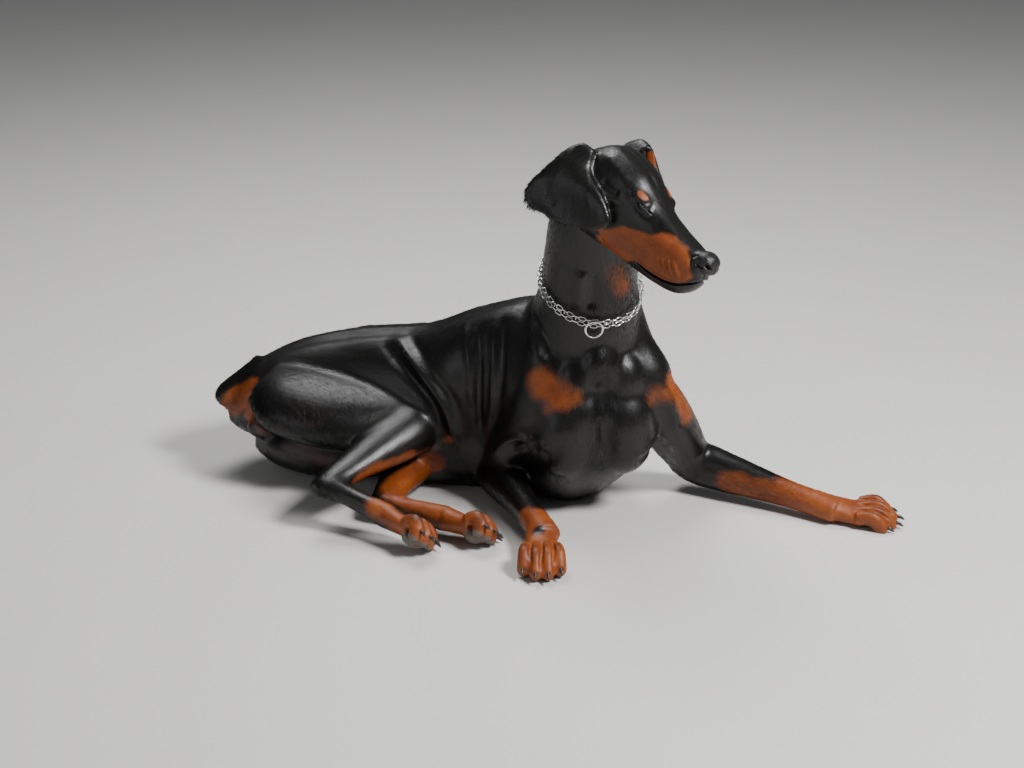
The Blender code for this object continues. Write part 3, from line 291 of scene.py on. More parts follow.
def add_head(forms):
    """Long blunt wedge in the head's own frame: flat skull, slight stop, deep muzzle."""
    head = bmesh.new()
    skull = (
        (-0.150, 0.028, -0.022, 0.016, 0.030),
        (-0.138, 0.043, -0.028, 0.046, 0.050),
        (-0.105, 0.052, -0.032, 0.070, 0.066),
        (-0.070, 0.054, -0.038, 0.075, 0.070),
        (-0.035, 0.049, -0.044, 0.072, 0.064),
        (-0.008, 0.041, -0.049, 0.061, 0.060),
        (0.022, 0.035, -0.051, 0.0475, 0.060),
        (0.062, 0.0305, -0.051, 0.037, 0.058),
        (0.092, 0.0280, -0.052, 0.032, 0.051),
        (0.111, 0.0245, -0.051, 0.027, 0.040),
        (0.121, 0.0185, -0.050, 0.020, 0.027),
        (0.1255, 0.0090, -0.049, 0.010, 0.016),
    )
    nose = (
        (0.104, 0.0140, -0.032, 0.011, 0.012),
        (0.117, 0.0185, -0.032, 0.016, 0.016),
        (0.130, 0.0180, -0.033, 0.015, 0.016),
        (0.1375, 0.0130, -0.035, 0.010, 0.012),
        (0.1402, 0.0060, -0.036, 0.005, 0.006),
    )
    for sections, power in ((skull, 2.5), (nose, 2.4)):
        add_loft(head, [(Vector((x, 0, z)), Vector((0, 1, 0)), UP, half, up, down)
                        for x, half, z, up, down in sections], power=power)
    for y in (-1, 1):
        add_ball(head, (-0.072, 0.036 * y, -0.062), (0.045, 0.019, 0.036), (1, 0, 0.25))
        add_ball(head, (-0.045, 0.039 * y, -0.020), (0.042, 0.013, 0.011), (1, -0.35 * y, 0.05))
        add_ball(head, (-0.014, 0.026 * y, 0.000), (0.022, 0.0115, 0.009), (1, -0.5 * y, -0.25))
        add_ball(head, EYE_CENTRE * Vector((1, y, 1)), (EYE_RADIUS + 0.0018,) * 3)
        add_ball(head, (0.088, 0.0135 * y, -0.065), (0.032, 0.0165, 0.022), (1, -0.1 * y, 0))
    bmesh.ops.transform(head, matrix=head_matrix(), verts=head.verts)
    mesh = bpy.data.meshes.new("head forms")
    head.to_mesh(mesh)
    forms.from_mesh(mesh)
    bpy.data.meshes.remove(mesh)
    head.free()


def add_tail(forms):
    root, tip = TAIL_ROOT, TAIL_TIP
    add_limb(forms, UP, [(root.lerp(tip, -0.6), 0.030, 0.030), (root, 0.026, 0.028),
                         (tip.lerp(root, 0.25), 0.022, 0.024), (tip, 0.012, 0.014)])


def add_hind_leg(forms, side):
    """Thigh, shank with the tendon of the heel, and the long rear pastern."""
    hip, knee, hock, toes = LEGS[f"hind_{side}"]
    flat = FLAT[f"hind_{side}"]
    back = (hock - knee).normalized()
    add_limb(forms, flat, [
        (hip + back * 0.02 - (knee - hip) * 0.25, 0.040, 0.070),
        (hip + back * 0.035, 0.052, 0.095),
        (hip.lerp(knee, 0.35) + back * 0.035, 0.055, 0.095),
        (hip.lerp(knee, 0.7) + back * 0.02, 0.050, 0.075),
        (knee, 0.038, 0.048),
        (knee.lerp(hip, -0.12), 0.020, 0.025),
    ])
    add_limb(forms, flat, [
        (knee - back * 0.02, 0.030, 0.030),
        (knee + back * 0.02, 0.042, 0.050),
        (knee.lerp(hock, 0.35), 0.036, 0.046),
        (knee.lerp(hock, 0.7), 0.023, 0.032),
        (hock - back * 0.01, 0.019, 0.026),
        (hock + back * 0.02, 0.015, 0.020),
    ])
    add_limb(forms, flat, [
        (hock - (toes - hock) * 0.10, 0.016, 0.020),
        (hock, 0.019, 0.024),
        (hock.lerp(toes, 0.4), 0.017, 0.019),
        (toes, 0.022, 0.020),
    ])


def add_fore_leg(forms, side):
    """Upper arm from the point of the shoulder to the elbow, and the straight forearm."""
    shoulder, elbow, wrist = LEGS[f"fore_{side}"]
    flat = FLAT[f"fore_{side}"]
    back = (elbow - shoulder).normalized()
    add_limb(forms, flat, [
        (shoulder - back * 0.025, 0.034, 0.040),
        (shoulder + back * 0.02, 0.044, 0.052),
        (shoulder.lerp(elbow, 0.5), 0.042, 0.052),
        (elbow - back * 0.02, 0.034, 0.042),
        (elbow + back * 0.018, 0.024, 0.030),
    ])
    along = (wrist - elbow).normalized()
    add_limb(forms, flat, [
        (elbow - along * 0.03, 0.026, 0.030),
        (elbow + along * 0.015, 0.034, 0.040),
        (elbow.lerp(wrist, 0.3), 0.031, 0.036),
        (elbow.lerp(wrist, 0.7), 0.0225, 0.025),
        (wrist - along * 0.01, 0.023, 0.022),
        (wrist + along * 0.03, 0.024, 0.019),
    ])


PawFrame = namedtuple("PawFrame", "ankle forward side up length width")


def paw_frame(name):
    """Ankle point, forward, side and up axes, length and width of one paw."""
    paw = PAWS[name]
    forward = Vector(paw["forward"]).normalized()
    side = Vector(paw["up"]).cross(forward).normalized()
    return PawFrame(LEGS[name][-1], forward, side, forward.cross(side), paw["length"], paw["width"])


def toes_of(name):
    """Root and reach of the four toes of one paw, the outer two shorter."""
    paw = paw_frame(name)
    toes = []
    for k, reach in zip((-1.5, -0.5, 0.5, 1.5), (0.80, 1.0, 1.0, 0.80)):
        root = paw.ankle + paw.forward * (paw.length * 0.42) + paw.side * (k * paw.width * 0.22)
        toe = paw.forward * (paw.length * 0.46 * reach) + paw.side * (k * paw.width * 0.05)
        toes.append((root, toe))
    return toes


def add_paw(forms, name):
    """Instep, four arched toes and the pads under them."""
    ankle, forward, side, up, length, width = paw_frame(name)
    half = width * 0.145
    knuckles = ankle + forward * (length * 0.5) - up * 0.006
    add_limb(forms, side, [
        (ankle, 0.024, 0.020),
        (ankle.lerp(knuckles, 0.6), 0.027, 0.017),
        (knuckles, width * 0.44, 0.015),
    ])
    for root, toe in toes_of(name):
        tip = root + toe - up * 0.012
        add_limb(forms, side, [
            (root, half, 0.012),
            (root + toe * 0.48 + up * 0.005, half * 1.05, 0.014),
            (tip - toe * 0.12, half, 0.013),
            (tip, half * 0.6, 0.008),
        ])
        add_ball(forms, tip - toe * 0.22 - up * 0.006, (0.012, half * 0.8, 0.008), forward, up)
    add_ball(forms, knuckles - up * 0.014 + forward * 0.004, (0.018, width * 0.27, 0.011), forward, up)


def claws_of(name, **options):
    """Four short curved claws, rooted in the tips of the toes."""
    paw = paw_frame(name)
    claws = []
    for root, toe in toes_of(name):
        ahead = toe.normalized()
        start = root + toe * 0.93 - paw.up * 0.006
        claw = bmesh.new()
        add_limb(claw, paw.side, [
            (start - ahead * 0.004, 0.0028, 0.0034),
            (start + ahead * 0.005, 0.0026, 0.0032),
            (start + ahead * 0.010 - paw.up * 0.002, 0.0019, 0.0024),
            (start + ahead * 0.014 - paw.up * 0.0045, 0.0008, 0.0010),
        ], **options)
        claws.append(claw)
    return claws


def add_groin(forms):
    """What shows of a male between the raised right thigh and the floor."""
    add_ball(forms, (-0.470, 0.112, 0.096), (0.026, 0.020, 0.020), (1, 0.3, -0.4))
    add_ball(forms, (-0.190, 0.062, 0.080), (0.045, 0.013, 0.014), (1, -0.3, 0.15))


# One ear flap in the head frame: its rolled front, its middle and its back edge, root to hem
EAR_FRONT = ((-0.112, 0.034, 0.012), (-0.116, 0.046, 0.025), (-0.107, 0.055, 0.006),
             (-0.093, 0.061, -0.006), (-0.068, 0.065, -0.016), (-0.044, 0.066, -0.031),
             (-0.030, 0.065, -0.048), (-0.038, 0.067, -0.067))
EAR_MIDDLE = ((-0.116, 0.034, 0.012), (-0.134, 0.049, 0.027), (-0.142, 0.064, 0.016),
              (-0.136, 0.077, -0.004), (-0.122, 0.083, -0.028), (-0.108, 0.082, -0.052),
              (-0.099, 0.083, -0.073), (-0.094, 0.086, -0.0845))
EAR_BACK = ((-0.132, 0.034, 0.002), (-0.148, 0.048, 0.015), (-0.157, 0.066, 0.000),
            (-0.163, 0.084, -0.022), (-0.168, 0.097, -0.044), (-0.168, 0.105, -0.062),
            (-0.161, 0.107, -0.079), (-0.147, 0.106, -0.0865))
EAR_ROLL = (0.0, 0.3, 1.0, 1.0, 1.0, 1.0, 0.8, 0.3)
LEFT_EAR_FLARE = (0.016, 0.009, 0.010)
FLARE_SHARE = (0.3, 1.0, 1.2, 1.0, 0.6, 0.3, 0.0, 0.0)


def ear_rails(side):
    """The flap's four rails; the front edge rolls in, and the left ear stands further off."""
    rolled = [(x - 0.012 * roll, y - 0.013 * roll, z) for (x, y, z), roll in zip(EAR_FRONT, EAR_ROLL)]
    rails = np.array((rolled, EAR_FRONT, EAR_MIDDLE, EAR_BACK))
    if side > 0:
        flare = np.outer(FLARE_SHARE, LEFT_EAR_FLARE)
        rails = rails + flare * np.array((1.0, 1.0, 0.8, 0.3))[:, None, None]
    return rails * (1, side, 1)


def ear_surface(side, steps):
    """Open grid of one hanging ear flap in the head frame."""
    rails = [smooth_rows(rail, steps) for rail in ear_rails(side)]
    grid = bmesh.new()
    rows = []
    for i in range(len(rails[0])):
        across = smooth_rows([rail[i] for rail in rails], steps + 1)
        rows.append([grid.verts.new(point) for point in across])
    for low, high in zip(rows, rows[1:]):
        for k in range(len(low) - 1):
            grid.faces.new((low[k], low[k + 1], high[k + 1], high[k]))
    return grid


def mesh_of(bm, name="shape"):
    """Mesh datablock with outward faces; the bmesh is used up."""
    bmesh.ops.recalc_face_normals(bm, faces=bm.faces)
    mesh = bpy.data.meshes.new(name)
    bm.to_mesh(mesh)
    bm.free()
    return mesh


def with_modifier(mesh, kind, group=None, **settings):
    """Mesh after one modifier, through a passing object; group marks the points it works on."""
    carrier = bpy.data.objects.new("carrier", mesh)
    bpy.context.scene.collection.objects.link(carrier)
    modifier = carrier.modifiers.new(kind.lower(), kind)
    for key, value in settings.items():
        setattr(modifier, key, value)
    if group is not None:
        carrier.vertex_groups.clear()
        chosen = carrier.vertex_groups.new(name="chosen")
        chosen.add([int(i) for i in np.nonzero(group)[0]], 1.0, "REPLACE")
        modifier.vertex_group = chosen.name
    graph = bpy.context.evaluated_depsgraph_get()
    result = bpy.data.meshes.new_from_object(carrier.evaluated_get(graph))
    bpy.data.objects.remove(carrier)
    return result


def points_of(mesh):
    co = np.empty(len(mesh.vertices) * 3, dtype=np.float32)
    mesh.vertices.foreach_get("co", co)
    return co.reshape(-1, 3).astype(float)


def set_points(mesh, co):
    mesh.vertices.foreach_set("co", np.asarray(co, dtype=np.float32).ravel())
    mesh.update()


def normals_of(mesh):
    no = np.empty(len(mesh.vertices) * 3, dtype=np.float32)
    mesh.vertices.foreach_get("normal", no)
    return no.reshape(-1, 3).astype(float)


def near(co, centres, radius):
    """True for the points within radius of any centre."""
    inside = np.zeros(len(co), dtype=bool)
    for centre in centres:
        inside |= np.linalg.norm(co - np.array(centre), axis=1) < radius
    return inside


def body_forms():
    """Trunk, neck, head, tail and legs as overlapping closed forms, without the ears."""
    forms = bmesh.new()
    add_trunk(forms)
    add_neck(forms)
    add_head(forms)
    add_tail(forms)
    for side in ("right", "left"):
        add_shoulder(forms, side)
        add_neck_base(forms, side)
        add_fore_leg(forms, side)
        add_hind_leg(forms, side)
    add_groin(forms)
    for name in PAWS:
        add_paw(forms, name)
    return forms


def to_head(points, side=1):
    """Points of the head frame in the dog's frame; side -1 mirrors them to the right."""
    place = head_matrix()
    return [place @ Vector((x, y * side, z)) for x, y, z in points]


def both_sides(points):
    """Points of the head frame in the dog's frame, on the left and again on the right."""
    return to_head(points) + to_head(points, -1)


def in_head_frame(co):
    """Points of the dog's frame in the head frame."""
    return (co - np.array(HEAD_PLACE)) @ np.array(head_matrix().to_3x3())


def refined(mesh, chosen):
    """Mesh with the faces between the chosen points split once more."""
    bm = bmesh.new()
    bm.from_mesh(mesh)
    edges = [e for e in bm.edges if chosen[e.verts[0].index] and chosen[e.verts[1].index]]
    bmesh.ops.subdivide_edges(bm, edges=edges, cuts=1, use_grid_fill=True)
    return mesh_of(bm, mesh.name)


def paw_centres():
    return [paw.ankle + paw.forward * paw.length * 0.5 for paw in map(paw_frame, PAWS)]


def tree_of(mesh):
    return BVHTree.FromPolygons([v.co for v in mesh.vertices], [p.vertices for p in mesh.polygons])


def snapped(tree, points):
    return np.array([tree.find_nearest(Vector(point))[0] for point in points])


def distance_along(co, line):
    """Distance of each point from a polyline, and how far along it the nearest place is, 0 to 1."""
    best = np.full(len(co), 1e9)
    place = np.zeros(len(co))
    steps = np.linalg.norm(np.diff(line, axis=0), axis=1)
    starts = np.concatenate([[0], np.cumsum(steps)])
    for k, step in enumerate(steps):
        along = line[k + 1] - line[k]
        t = np.clip(((co - line[k]) @ along) / max(step * step, 1e-12), 0, 1)
        gap = np.linalg.norm(co - line[k] - t[:, None] * along, axis=1)
        closer = gap < best
        best = np.where(closer, gap, best)
        place = np.where(closer, (starts[k] + t * step) / starts[-1], place)
    return best, place


def drawn(co, normals, tree, line, width, height, square=False):
    """Raise the surface along a line, or sink it where height is negative; the ends fade."""
    line = smooth_rows(snapped(tree, line), 5)
    reach = 3 * width
    box = ((co > line.min(axis=0) - reach) & (co < line.max(axis=0) + reach)).all(axis=1)
    chosen = np.nonzero(box)[0]
    gap, place = distance_along(co[chosen], line)
    fade = np.clip(np.minimum(place, 1 - place) * 5 + 0.15, 0, 1)
    fall = np.exp(-(gap / width) ** (4 if square else 2))
    co[chosen] += normals[chosen] * (height * fade * fall)[:, None]


# Ridges and valleys of the body: points on or near the skin, half width, height
BODY_LINES = (
    (((-0.243, 0.131, 0.253), (-0.208, 0.072, 0.222), (-0.167, 0.035, 0.175),
      (-0.148, 0.030, 0.124), (-0.136, 0.036, 0.077)), 0.0085, 0.0060),
    (((-0.262, 0.120, 0.246), (-0.226, 0.068, 0.212), (-0.184, 0.034, 0.168),
      (-0.166, 0.030, 0.120)), 0.0090, -0.0065),
    (((-0.222, 0.130, 0.262), (-0.185, 0.075, 0.228), (-0.145, 0.040, 0.178),
      (-0.128, 0.034, 0.120)), 0.0100, -0.0045),
    (((-0.124, 0.070, 0.290), (-0.118, 0.030, 0.236), (-0.116, 0.024, 0.165)), 0.0070, 0.0040),
    (((-0.100, 0.056, 0.296), (-0.103, 0.022, 0.231), (-0.104, 0.021, 0.163),
      (-0.100, 0.026, 0.105)), 0.0060, -0.0055),
    (((-0.078, 0.050, 0.306), (-0.080, 0.016, 0.252), (-0.084, 0.008, 0.186),
      (-0.090, 0.018, 0.120)), 0.0075, 0.0042),
    (((-0.060, 0.048, 0.312), (-0.062, 0.010, 0.250), (-0.066, 0.004, 0.190)), 0.0080, -0.0032),
    (((-0.026, 0.010, 0.332), (-0.014, -0.020, 0.300), (-0.002, -0.036, 0.262)), 0.0085, 0.0045),
    (((-0.008, 0.006, 0.338), (0.006, -0.026, 0.300), (0.014, -0.040, 0.268)), 0.0110, -0.0050),
    (((0.098, -0.047, 0.291), (0.098, -0.069, 0.249), (0.097, -0.076, 0.202),
      (0.096, -0.072, 0.149), (0.096, -0.066, 0.112)), 0.0130, -0.0070),
    (((-0.095, -0.010, 0.092), (-0.063, -0.028, 0.126), (-0.040, -0.050, 0.142),
      (-0.026, -0.054, 0.128), (-0.026, -0.050, 0.100)), 0.0065, 0.0040),
    (((-0.050, -0.036, 0.112), (-0.034, -0.052, 0.124), (-0.018, -0.058, 0.136),
      (0.004, -0.064, 0.132)), 0.0065, -0.0035),
    (((-0.018, -0.058, 0.150), (0.006, -0.066, 0.148), (0.016, -0.066, 0.136)), 0.0050, 0.0040),
    (((0.140, -0.050, 0.120), (0.168, -0.036, 0.136), (0.196, -0.020, 0.120),
      (0.216, 0.006, 0.090)), 0.0065, 0.0055),
    (((0.150, -0.048, 0.100), (0.176, -0.030, 0.112), (0.198, -0.012, 0.090)), 0.0060, -0.0050),
    (((0.190, -0.030, 0.216), (0.206, -0.022, 0.186), (0.218, -0.008, 0.140)), 0.0080, 0.0040),
    (((0.057, -0.066, 0.428), (0.053, -0.062, 0.394), (0.050, -0.059, 0.361)), 0.0100, 0.0050),
    (((0.076, -0.070, 0.420), (0.074, -0.068, 0.390), (0.072, -0.064, 0.360)), 0.0100, -0.0050),
    (((-0.482, 0.092, 0.168), (-0.490, 0.120, 0.150), (-0.500, 0.140, 0.110)), 0.0060, -0.0040),
    (((-0.476, 0.080, 0.120), (-0.452, 0.082, 0.118), (-0.444, 0.100, 0.100)), 0.0050, -0.0045),
    (((-0.462, 0.092, 0.104), (-0.468, 0.098, 0.096)), 0.0110, 0.0040),
    (((0.000, 0.130, 0.310), (0.040, 0.150, 0.260), (0.085, 0.140, 0.215)), 0.0120, 0.0035),
    (((-0.045, 0.150, 0.300), (-0.020, 0.195, 0.230), (0.020, 0.190, 0.150), (0.060, 0.170, 0.090)),
     0.0140, -0.0045),
    (((0.100, 0.140, 0.190), (0.140, 0.110, 0.130)), 0.0120, -0.0030),
    (((-0.235, 0.215, 0.235), (-0.215, 0.242, 0.170), (-0.190, 0.235, 0.100)), 0.0200, -0.0050),
    (((-0.285, 0.235, 0.215), (-0.262, 0.262, 0.150), (-0.255, 0.262, 0.090)), 0.0160, -0.0050),
    (((-0.285, 0.210, 0.240), (-0.305, 0.220, 0.232)), 0.0160, 0.0015),
    (((-0.400, 0.250, 0.180), (-0.425, 0.265, 0.140), (-0.440, 0.262, 0.100)), 0.0140, -0.0040),
    (((-0.470, 0.225, 0.160), (-0.485, 0.215, 0.150)), 0.0140, 0.0040),
)

# Backbone from the withers to the tail, and the ribs of the left flank from back to belly
SPINE = ((-0.030, 0.100, 0.335), (-0.100, 0.120, 0.305), (-0.200, 0.150, 0.264), (-0.300, 0.177, 0.250),
         (-0.400, 0.190, 0.223), (-0.470, 0.190, 0.190))
RIB = ((-0.060, 0.150, 0.300), (-0.055, 0.210, 0.220), (-0.035, 0.225, 0.120))
RIB_STEP = 0.027
RIBS = 6


def shaped_body(co, normals, tree):
    """Folds and muscles, the backbone between its long muscles, and the ribs."""
    for line, width, height in BODY_LINES:
        drawn(co, normals, tree, line, width, height)
    drawn(co, normals, tree, SPINE, 0.0080, 0.0020)
    for shift in (-0.022, 0.022):
        drawn(co, normals, tree, [(x, y + shift, z) for x, y, z in SPINE], 0.0100, -0.0018)
    for k in range(RIBS):
        drawn(co, normals, tree, [(x - RIB_STEP * k, y, z) for x, y, z in RIB], 0.0070, -0.0013)


def shaped_paws(co, normals, tree):
    """Clefts between the toes."""
    for name in PAWS:
        paw = paw_frame(name)
        toes = toes_of(name)
        for (root, toe), (other, other_toe) in zip(toes, toes[1:]):
            start = (root + other) / 2 + paw.up * 0.012
            end = (root + toe + other + other_toe) / 2 + paw.up * 0.004
            middle = (start + end) / 2 + paw.up * 0.004
            drawn(co, normals, tree, [start, middle, end - paw.forward * 0.004], 0.0026, -0.0036)


# Where the neck flows into the chest, and the hanging parts of the ears, in the head frame
NECK_JOINS = (Vector((0.070, 0.100, 0.270)), Vector((0.020, 0.130, 0.300)), Vector((0.120, 0.070, 0.260)))
EAR_TIPS = ((-0.10, 0.085, -0.03), (-0.13, 0.095, -0.06), (-0.07, 0.08, -0.06), (-0.05, 0.07, -0.04))


def raw_skin():
    """All forms and both ears grown into one closed skin."""
    forms = body_forms()
    for side in (-1, 1):
        flap = with_modifier(mesh_of(ear_surface(side, 4)), "SOLIDIFY", thickness=EAR_THICKNESS,
                             offset=0)
        flap.transform(head_matrix())
        forms.from_mesh(flap)
    skin = with_modifier(mesh_of(forms), "REMESH", mode="VOXEL", voxel_size=SKIN_VOXEL)
    co = points_of(skin)
    ears = near(co, both_sides(EAR_TIPS), 0.050) & (np.abs(in_head_frame(co)[:, 1]) > 0.052)
    fine = near(co, to_head([HEAD_MIDDLE]), 0.16) | near(co, paw_centres(), 0.08)
    skin = with_modifier(skin, "SMOOTH", group=~ears, factor=0.5, iterations=RELAX)
    skin = with_modifier(skin, "SMOOTH", group=~fine, factor=0.5, iterations=BODY_RELAX)
    joins = near(points_of(skin), NECK_JOINS, 0.055)
    skin = with_modifier(skin, "SMOOTH", group=joins, factor=0.5, iterations=BODY_RELAX)
    return with_modifier(skin, "SMOOTH", factor=0.5, iterations=EAR_RELAX)


# Line between the lips from the corner of the mouth to the middle, in the head frame
MOUTH = ((0.018, 0.034, -0.088), (0.035, 0.031, -0.091), (0.052, 0.029, -0.092), (0.070, 0.027, -0.090),
         (0.086, 0.025, -0.086), (0.100, 0.021, -0.079), (0.110, 0.016, -0.071), (0.117, 0.009, -0.064),
         (0.120, 0.001, -0.061))

# Inner corner of the eye and the left nostril, in the head frame
EYE_CORNER = (0.005, 0.030, -0.004)
NOSTRIL = (0.125, 0.010, -0.035)

# From the middle of the eye's slit to the edges of the upper and lower lid
LID_ABOVE = Vector((0.0040, 0.0020, 0.0052))
LID_BELOW = Vector((0.0000, -0.0010, -0.0050))


def shaped_head(co, normals, tree):
    """Lids, brows, mouth, lips, whisker folds, nostrils and the furrows of the skull."""
    eye = EYE_FRONT
    slit = EYE_SLIT * 0.0135
    above, below = LID_ABOVE, LID_BELOW
    for side in (-1, 1):
        def line(points, width, height, square=False):
            drawn(co, normals, tree, to_head(points, side), width, height, square)

        line([(-0.032, 0.045, 0.000), (-0.012, 0.037, 0.008), (0.008, 0.026, 0.006)], 0.0050, -0.0016)
        line([eye - slit * 1.2 + above * 0.8, eye + above, eye + slit * 1.2 + above * 0.5], 0.0026, 0.0012)
        line([eye - slit * 1.1 + below * 0.8, eye + below, eye + slit * 1.2 + below * 0.5], 0.0022, 0.0009)
        line([eye - slit, eye - slit * 0.3 + below * 0.2, eye + slit * 0.4 + below * 0.1, eye + slit * 1.15],
             0.0011, -0.0026, True)
        line([eye + slit * 0.9, eye + slit * 1.4 + below * 0.2], 0.0020, -0.0008)
        line([eye - slit * 1.3 + below * 2.2, eye + below * 2.4, eye + slit * 1.3 + below * 2.0],
             0.0036, -0.0013)
        line([(0.020, 0.018, -0.020), (0.040, 0.020, -0.026), (0.070, 0.020, -0.028)], 0.0080, -0.0020)
        line(MOUTH, 0.0022, -0.0042, True)
        line([(x - 0.001, y, z + 0.0045) for x, y, z in MOUTH], 0.0030, 0.0014)
        line([(x, y, z - 0.0055) for x, y, z in MOUTH[:-2]], 0.0035, 0.0010)
        for k in range(4):
            start = (0.048 + 0.010 * k, 0.032 - 0.001 * k, -0.060 + 0.003 * k)
            end = (0.070 + 0.010 * k, 0.030 - 0.001 * k, -0.079 + 0.003 * k)
            middle = [(a + b) / 2 - 0.003 * (i == 2) for i, (a, b) in enumerate(zip(start, end))]
            line([start, middle, end], 0.0020, -0.0013)
            raised = [(p[0] + 0.004, p[1], p[2] + 0.002) for p in (start, end)]
            line(raised, 0.0026, 0.0010)
        line([(-0.176, 0.100, -0.052), (-0.160, 0.100, -0.076), (-0.138, 0.098, -0.092),
              (-0.112, 0.090, -0.094)], 0.0065, 0.0022)
        line([(-0.150, 0.090, -0.040), (-0.135, 0.090, -0.062), (-0.115, 0.086, -0.066)], 0.0120, -0.0020)
        line([(-0.104, 0.060, 0.004), (-0.080, 0.070, -0.020), (-0.056, 0.070, -0.045)], 0.0050, 0.0010)
        line([(-0.050, 0.054, -0.082), (-0.046, 0.052, -0.090), (-0.042, 0.048, -0.098)], 0.0030, -0.0020)
        line([(-0.098, 0.030, 0.026), (-0.070, 0.034, 0.018), (-0.040, 0.036, 0.010)], 0.0090, 0.0020)
        line([(-0.078, 0.052, -0.004), (-0.060, 0.050, -0.008), (-0.040, 0.044, -0.010)], 0.0080, -0.0024)
        line([(0.1285, 0.0115, -0.031), (0.1315, 0.0085, -0.0335), (0.1320, 0.0060, -0.0350)],
             0.0026, -0.0070, True)
        line([(0.1285, 0.0118, -0.036), (0.1220, 0.0165, -0.0375), (0.1160, 0.0185, -0.0360)],
             0.0011, -0.0034, True)
        line([(0.110, 0.0190, -0.018), (0.106, 0.0225, -0.032), (0.111, 0.0190, -0.046)], 0.0022, -0.0016)
    for points, width, height in (
            (((0.136, 0, -0.030), (0.135, 0, -0.040), (0.128, 0, -0.050), (0.121, 0, -0.060)),
             0.0010, -0.0022),
            (((0.104, 0, -0.019), (0.107, 0, -0.018), (0.110, 0, -0.016)), 0.0060, -0.0010),
            (((-0.110, 0, 0.028), (-0.080, 0, 0.031), (-0.045, 0, 0.020), (-0.015, 0, 0.006)),
             0.0050, -0.0016)):
        drawn(co, normals, tree, to_head(points), width, height)


def near_mouth(co):
    chosen = np.zeros(len(co), dtype=bool)
    for side in (-1, 1):
        chosen |= distance_along(co, np.array(to_head(MOUTH, side)))[0] < 0.011
    return chosen


def fine_skin():
    """The skin with every fold drawn in, set back by the depth of the coat."""
    skin = raw_skin()
    head, paws = to_head([HEAD_MIDDLE]), paw_centres()
    co = points_of(skin)
    skin = refined(skin, near(co, head, 0.150) | near(co, paws, 0.075))
    skin = with_modifier(skin, "SMOOTH", group=near(points_of(skin), head + paws, 0.150), factor=0.5,
                         iterations=2)
    tree = tree_of(skin)
    co, normals = points_of(skin), normals_of(skin)
    shaped_body(co, normals, tree)
    set_points(skin, co)
    co = points_of(skin)
    skin = refined(skin, near(co, both_sides([EYE_CORNER, NOSTRIL]), 0.024) | near_mouth(co))
    skin = refined(skin, near(points_of(skin), both_sides([EYE_FRONT]), 0.019))
    tree = tree_of(skin)
    co, normals = points_of(skin), normals_of(skin)
    shaped_head(co, normals, tree)
    shaped_paws(co, normals, tree)
    co -= normals * COAT_DEPTH
    co[:, 2] = np.maximum(co[:, 2], FLOOR_GAP)
    set_points(skin, co)
    return skin


# Outline of the rust on the cheek and muzzle, forward and up in the head frame
FACE_OUTLINE = ((-0.056, -0.092), (-0.046, -0.070), (-0.028, -0.057), (-0.013, -0.046), (0.005, -0.042),
                (0.029, -0.037), (0.044, -0.026), (0.064, -0.021), (0.090, -0.025), (0.104, -0.033),
                (0.112, -0.045), (0.119, -0.058), (0.115, -0.067), (0.100, -0.077), (0.076, -0.0865),
                (0.045, -0.088), (0.018, -0.087), (0.000, -0.100), (-0.030, -0.107), (-0.050, -0.104))


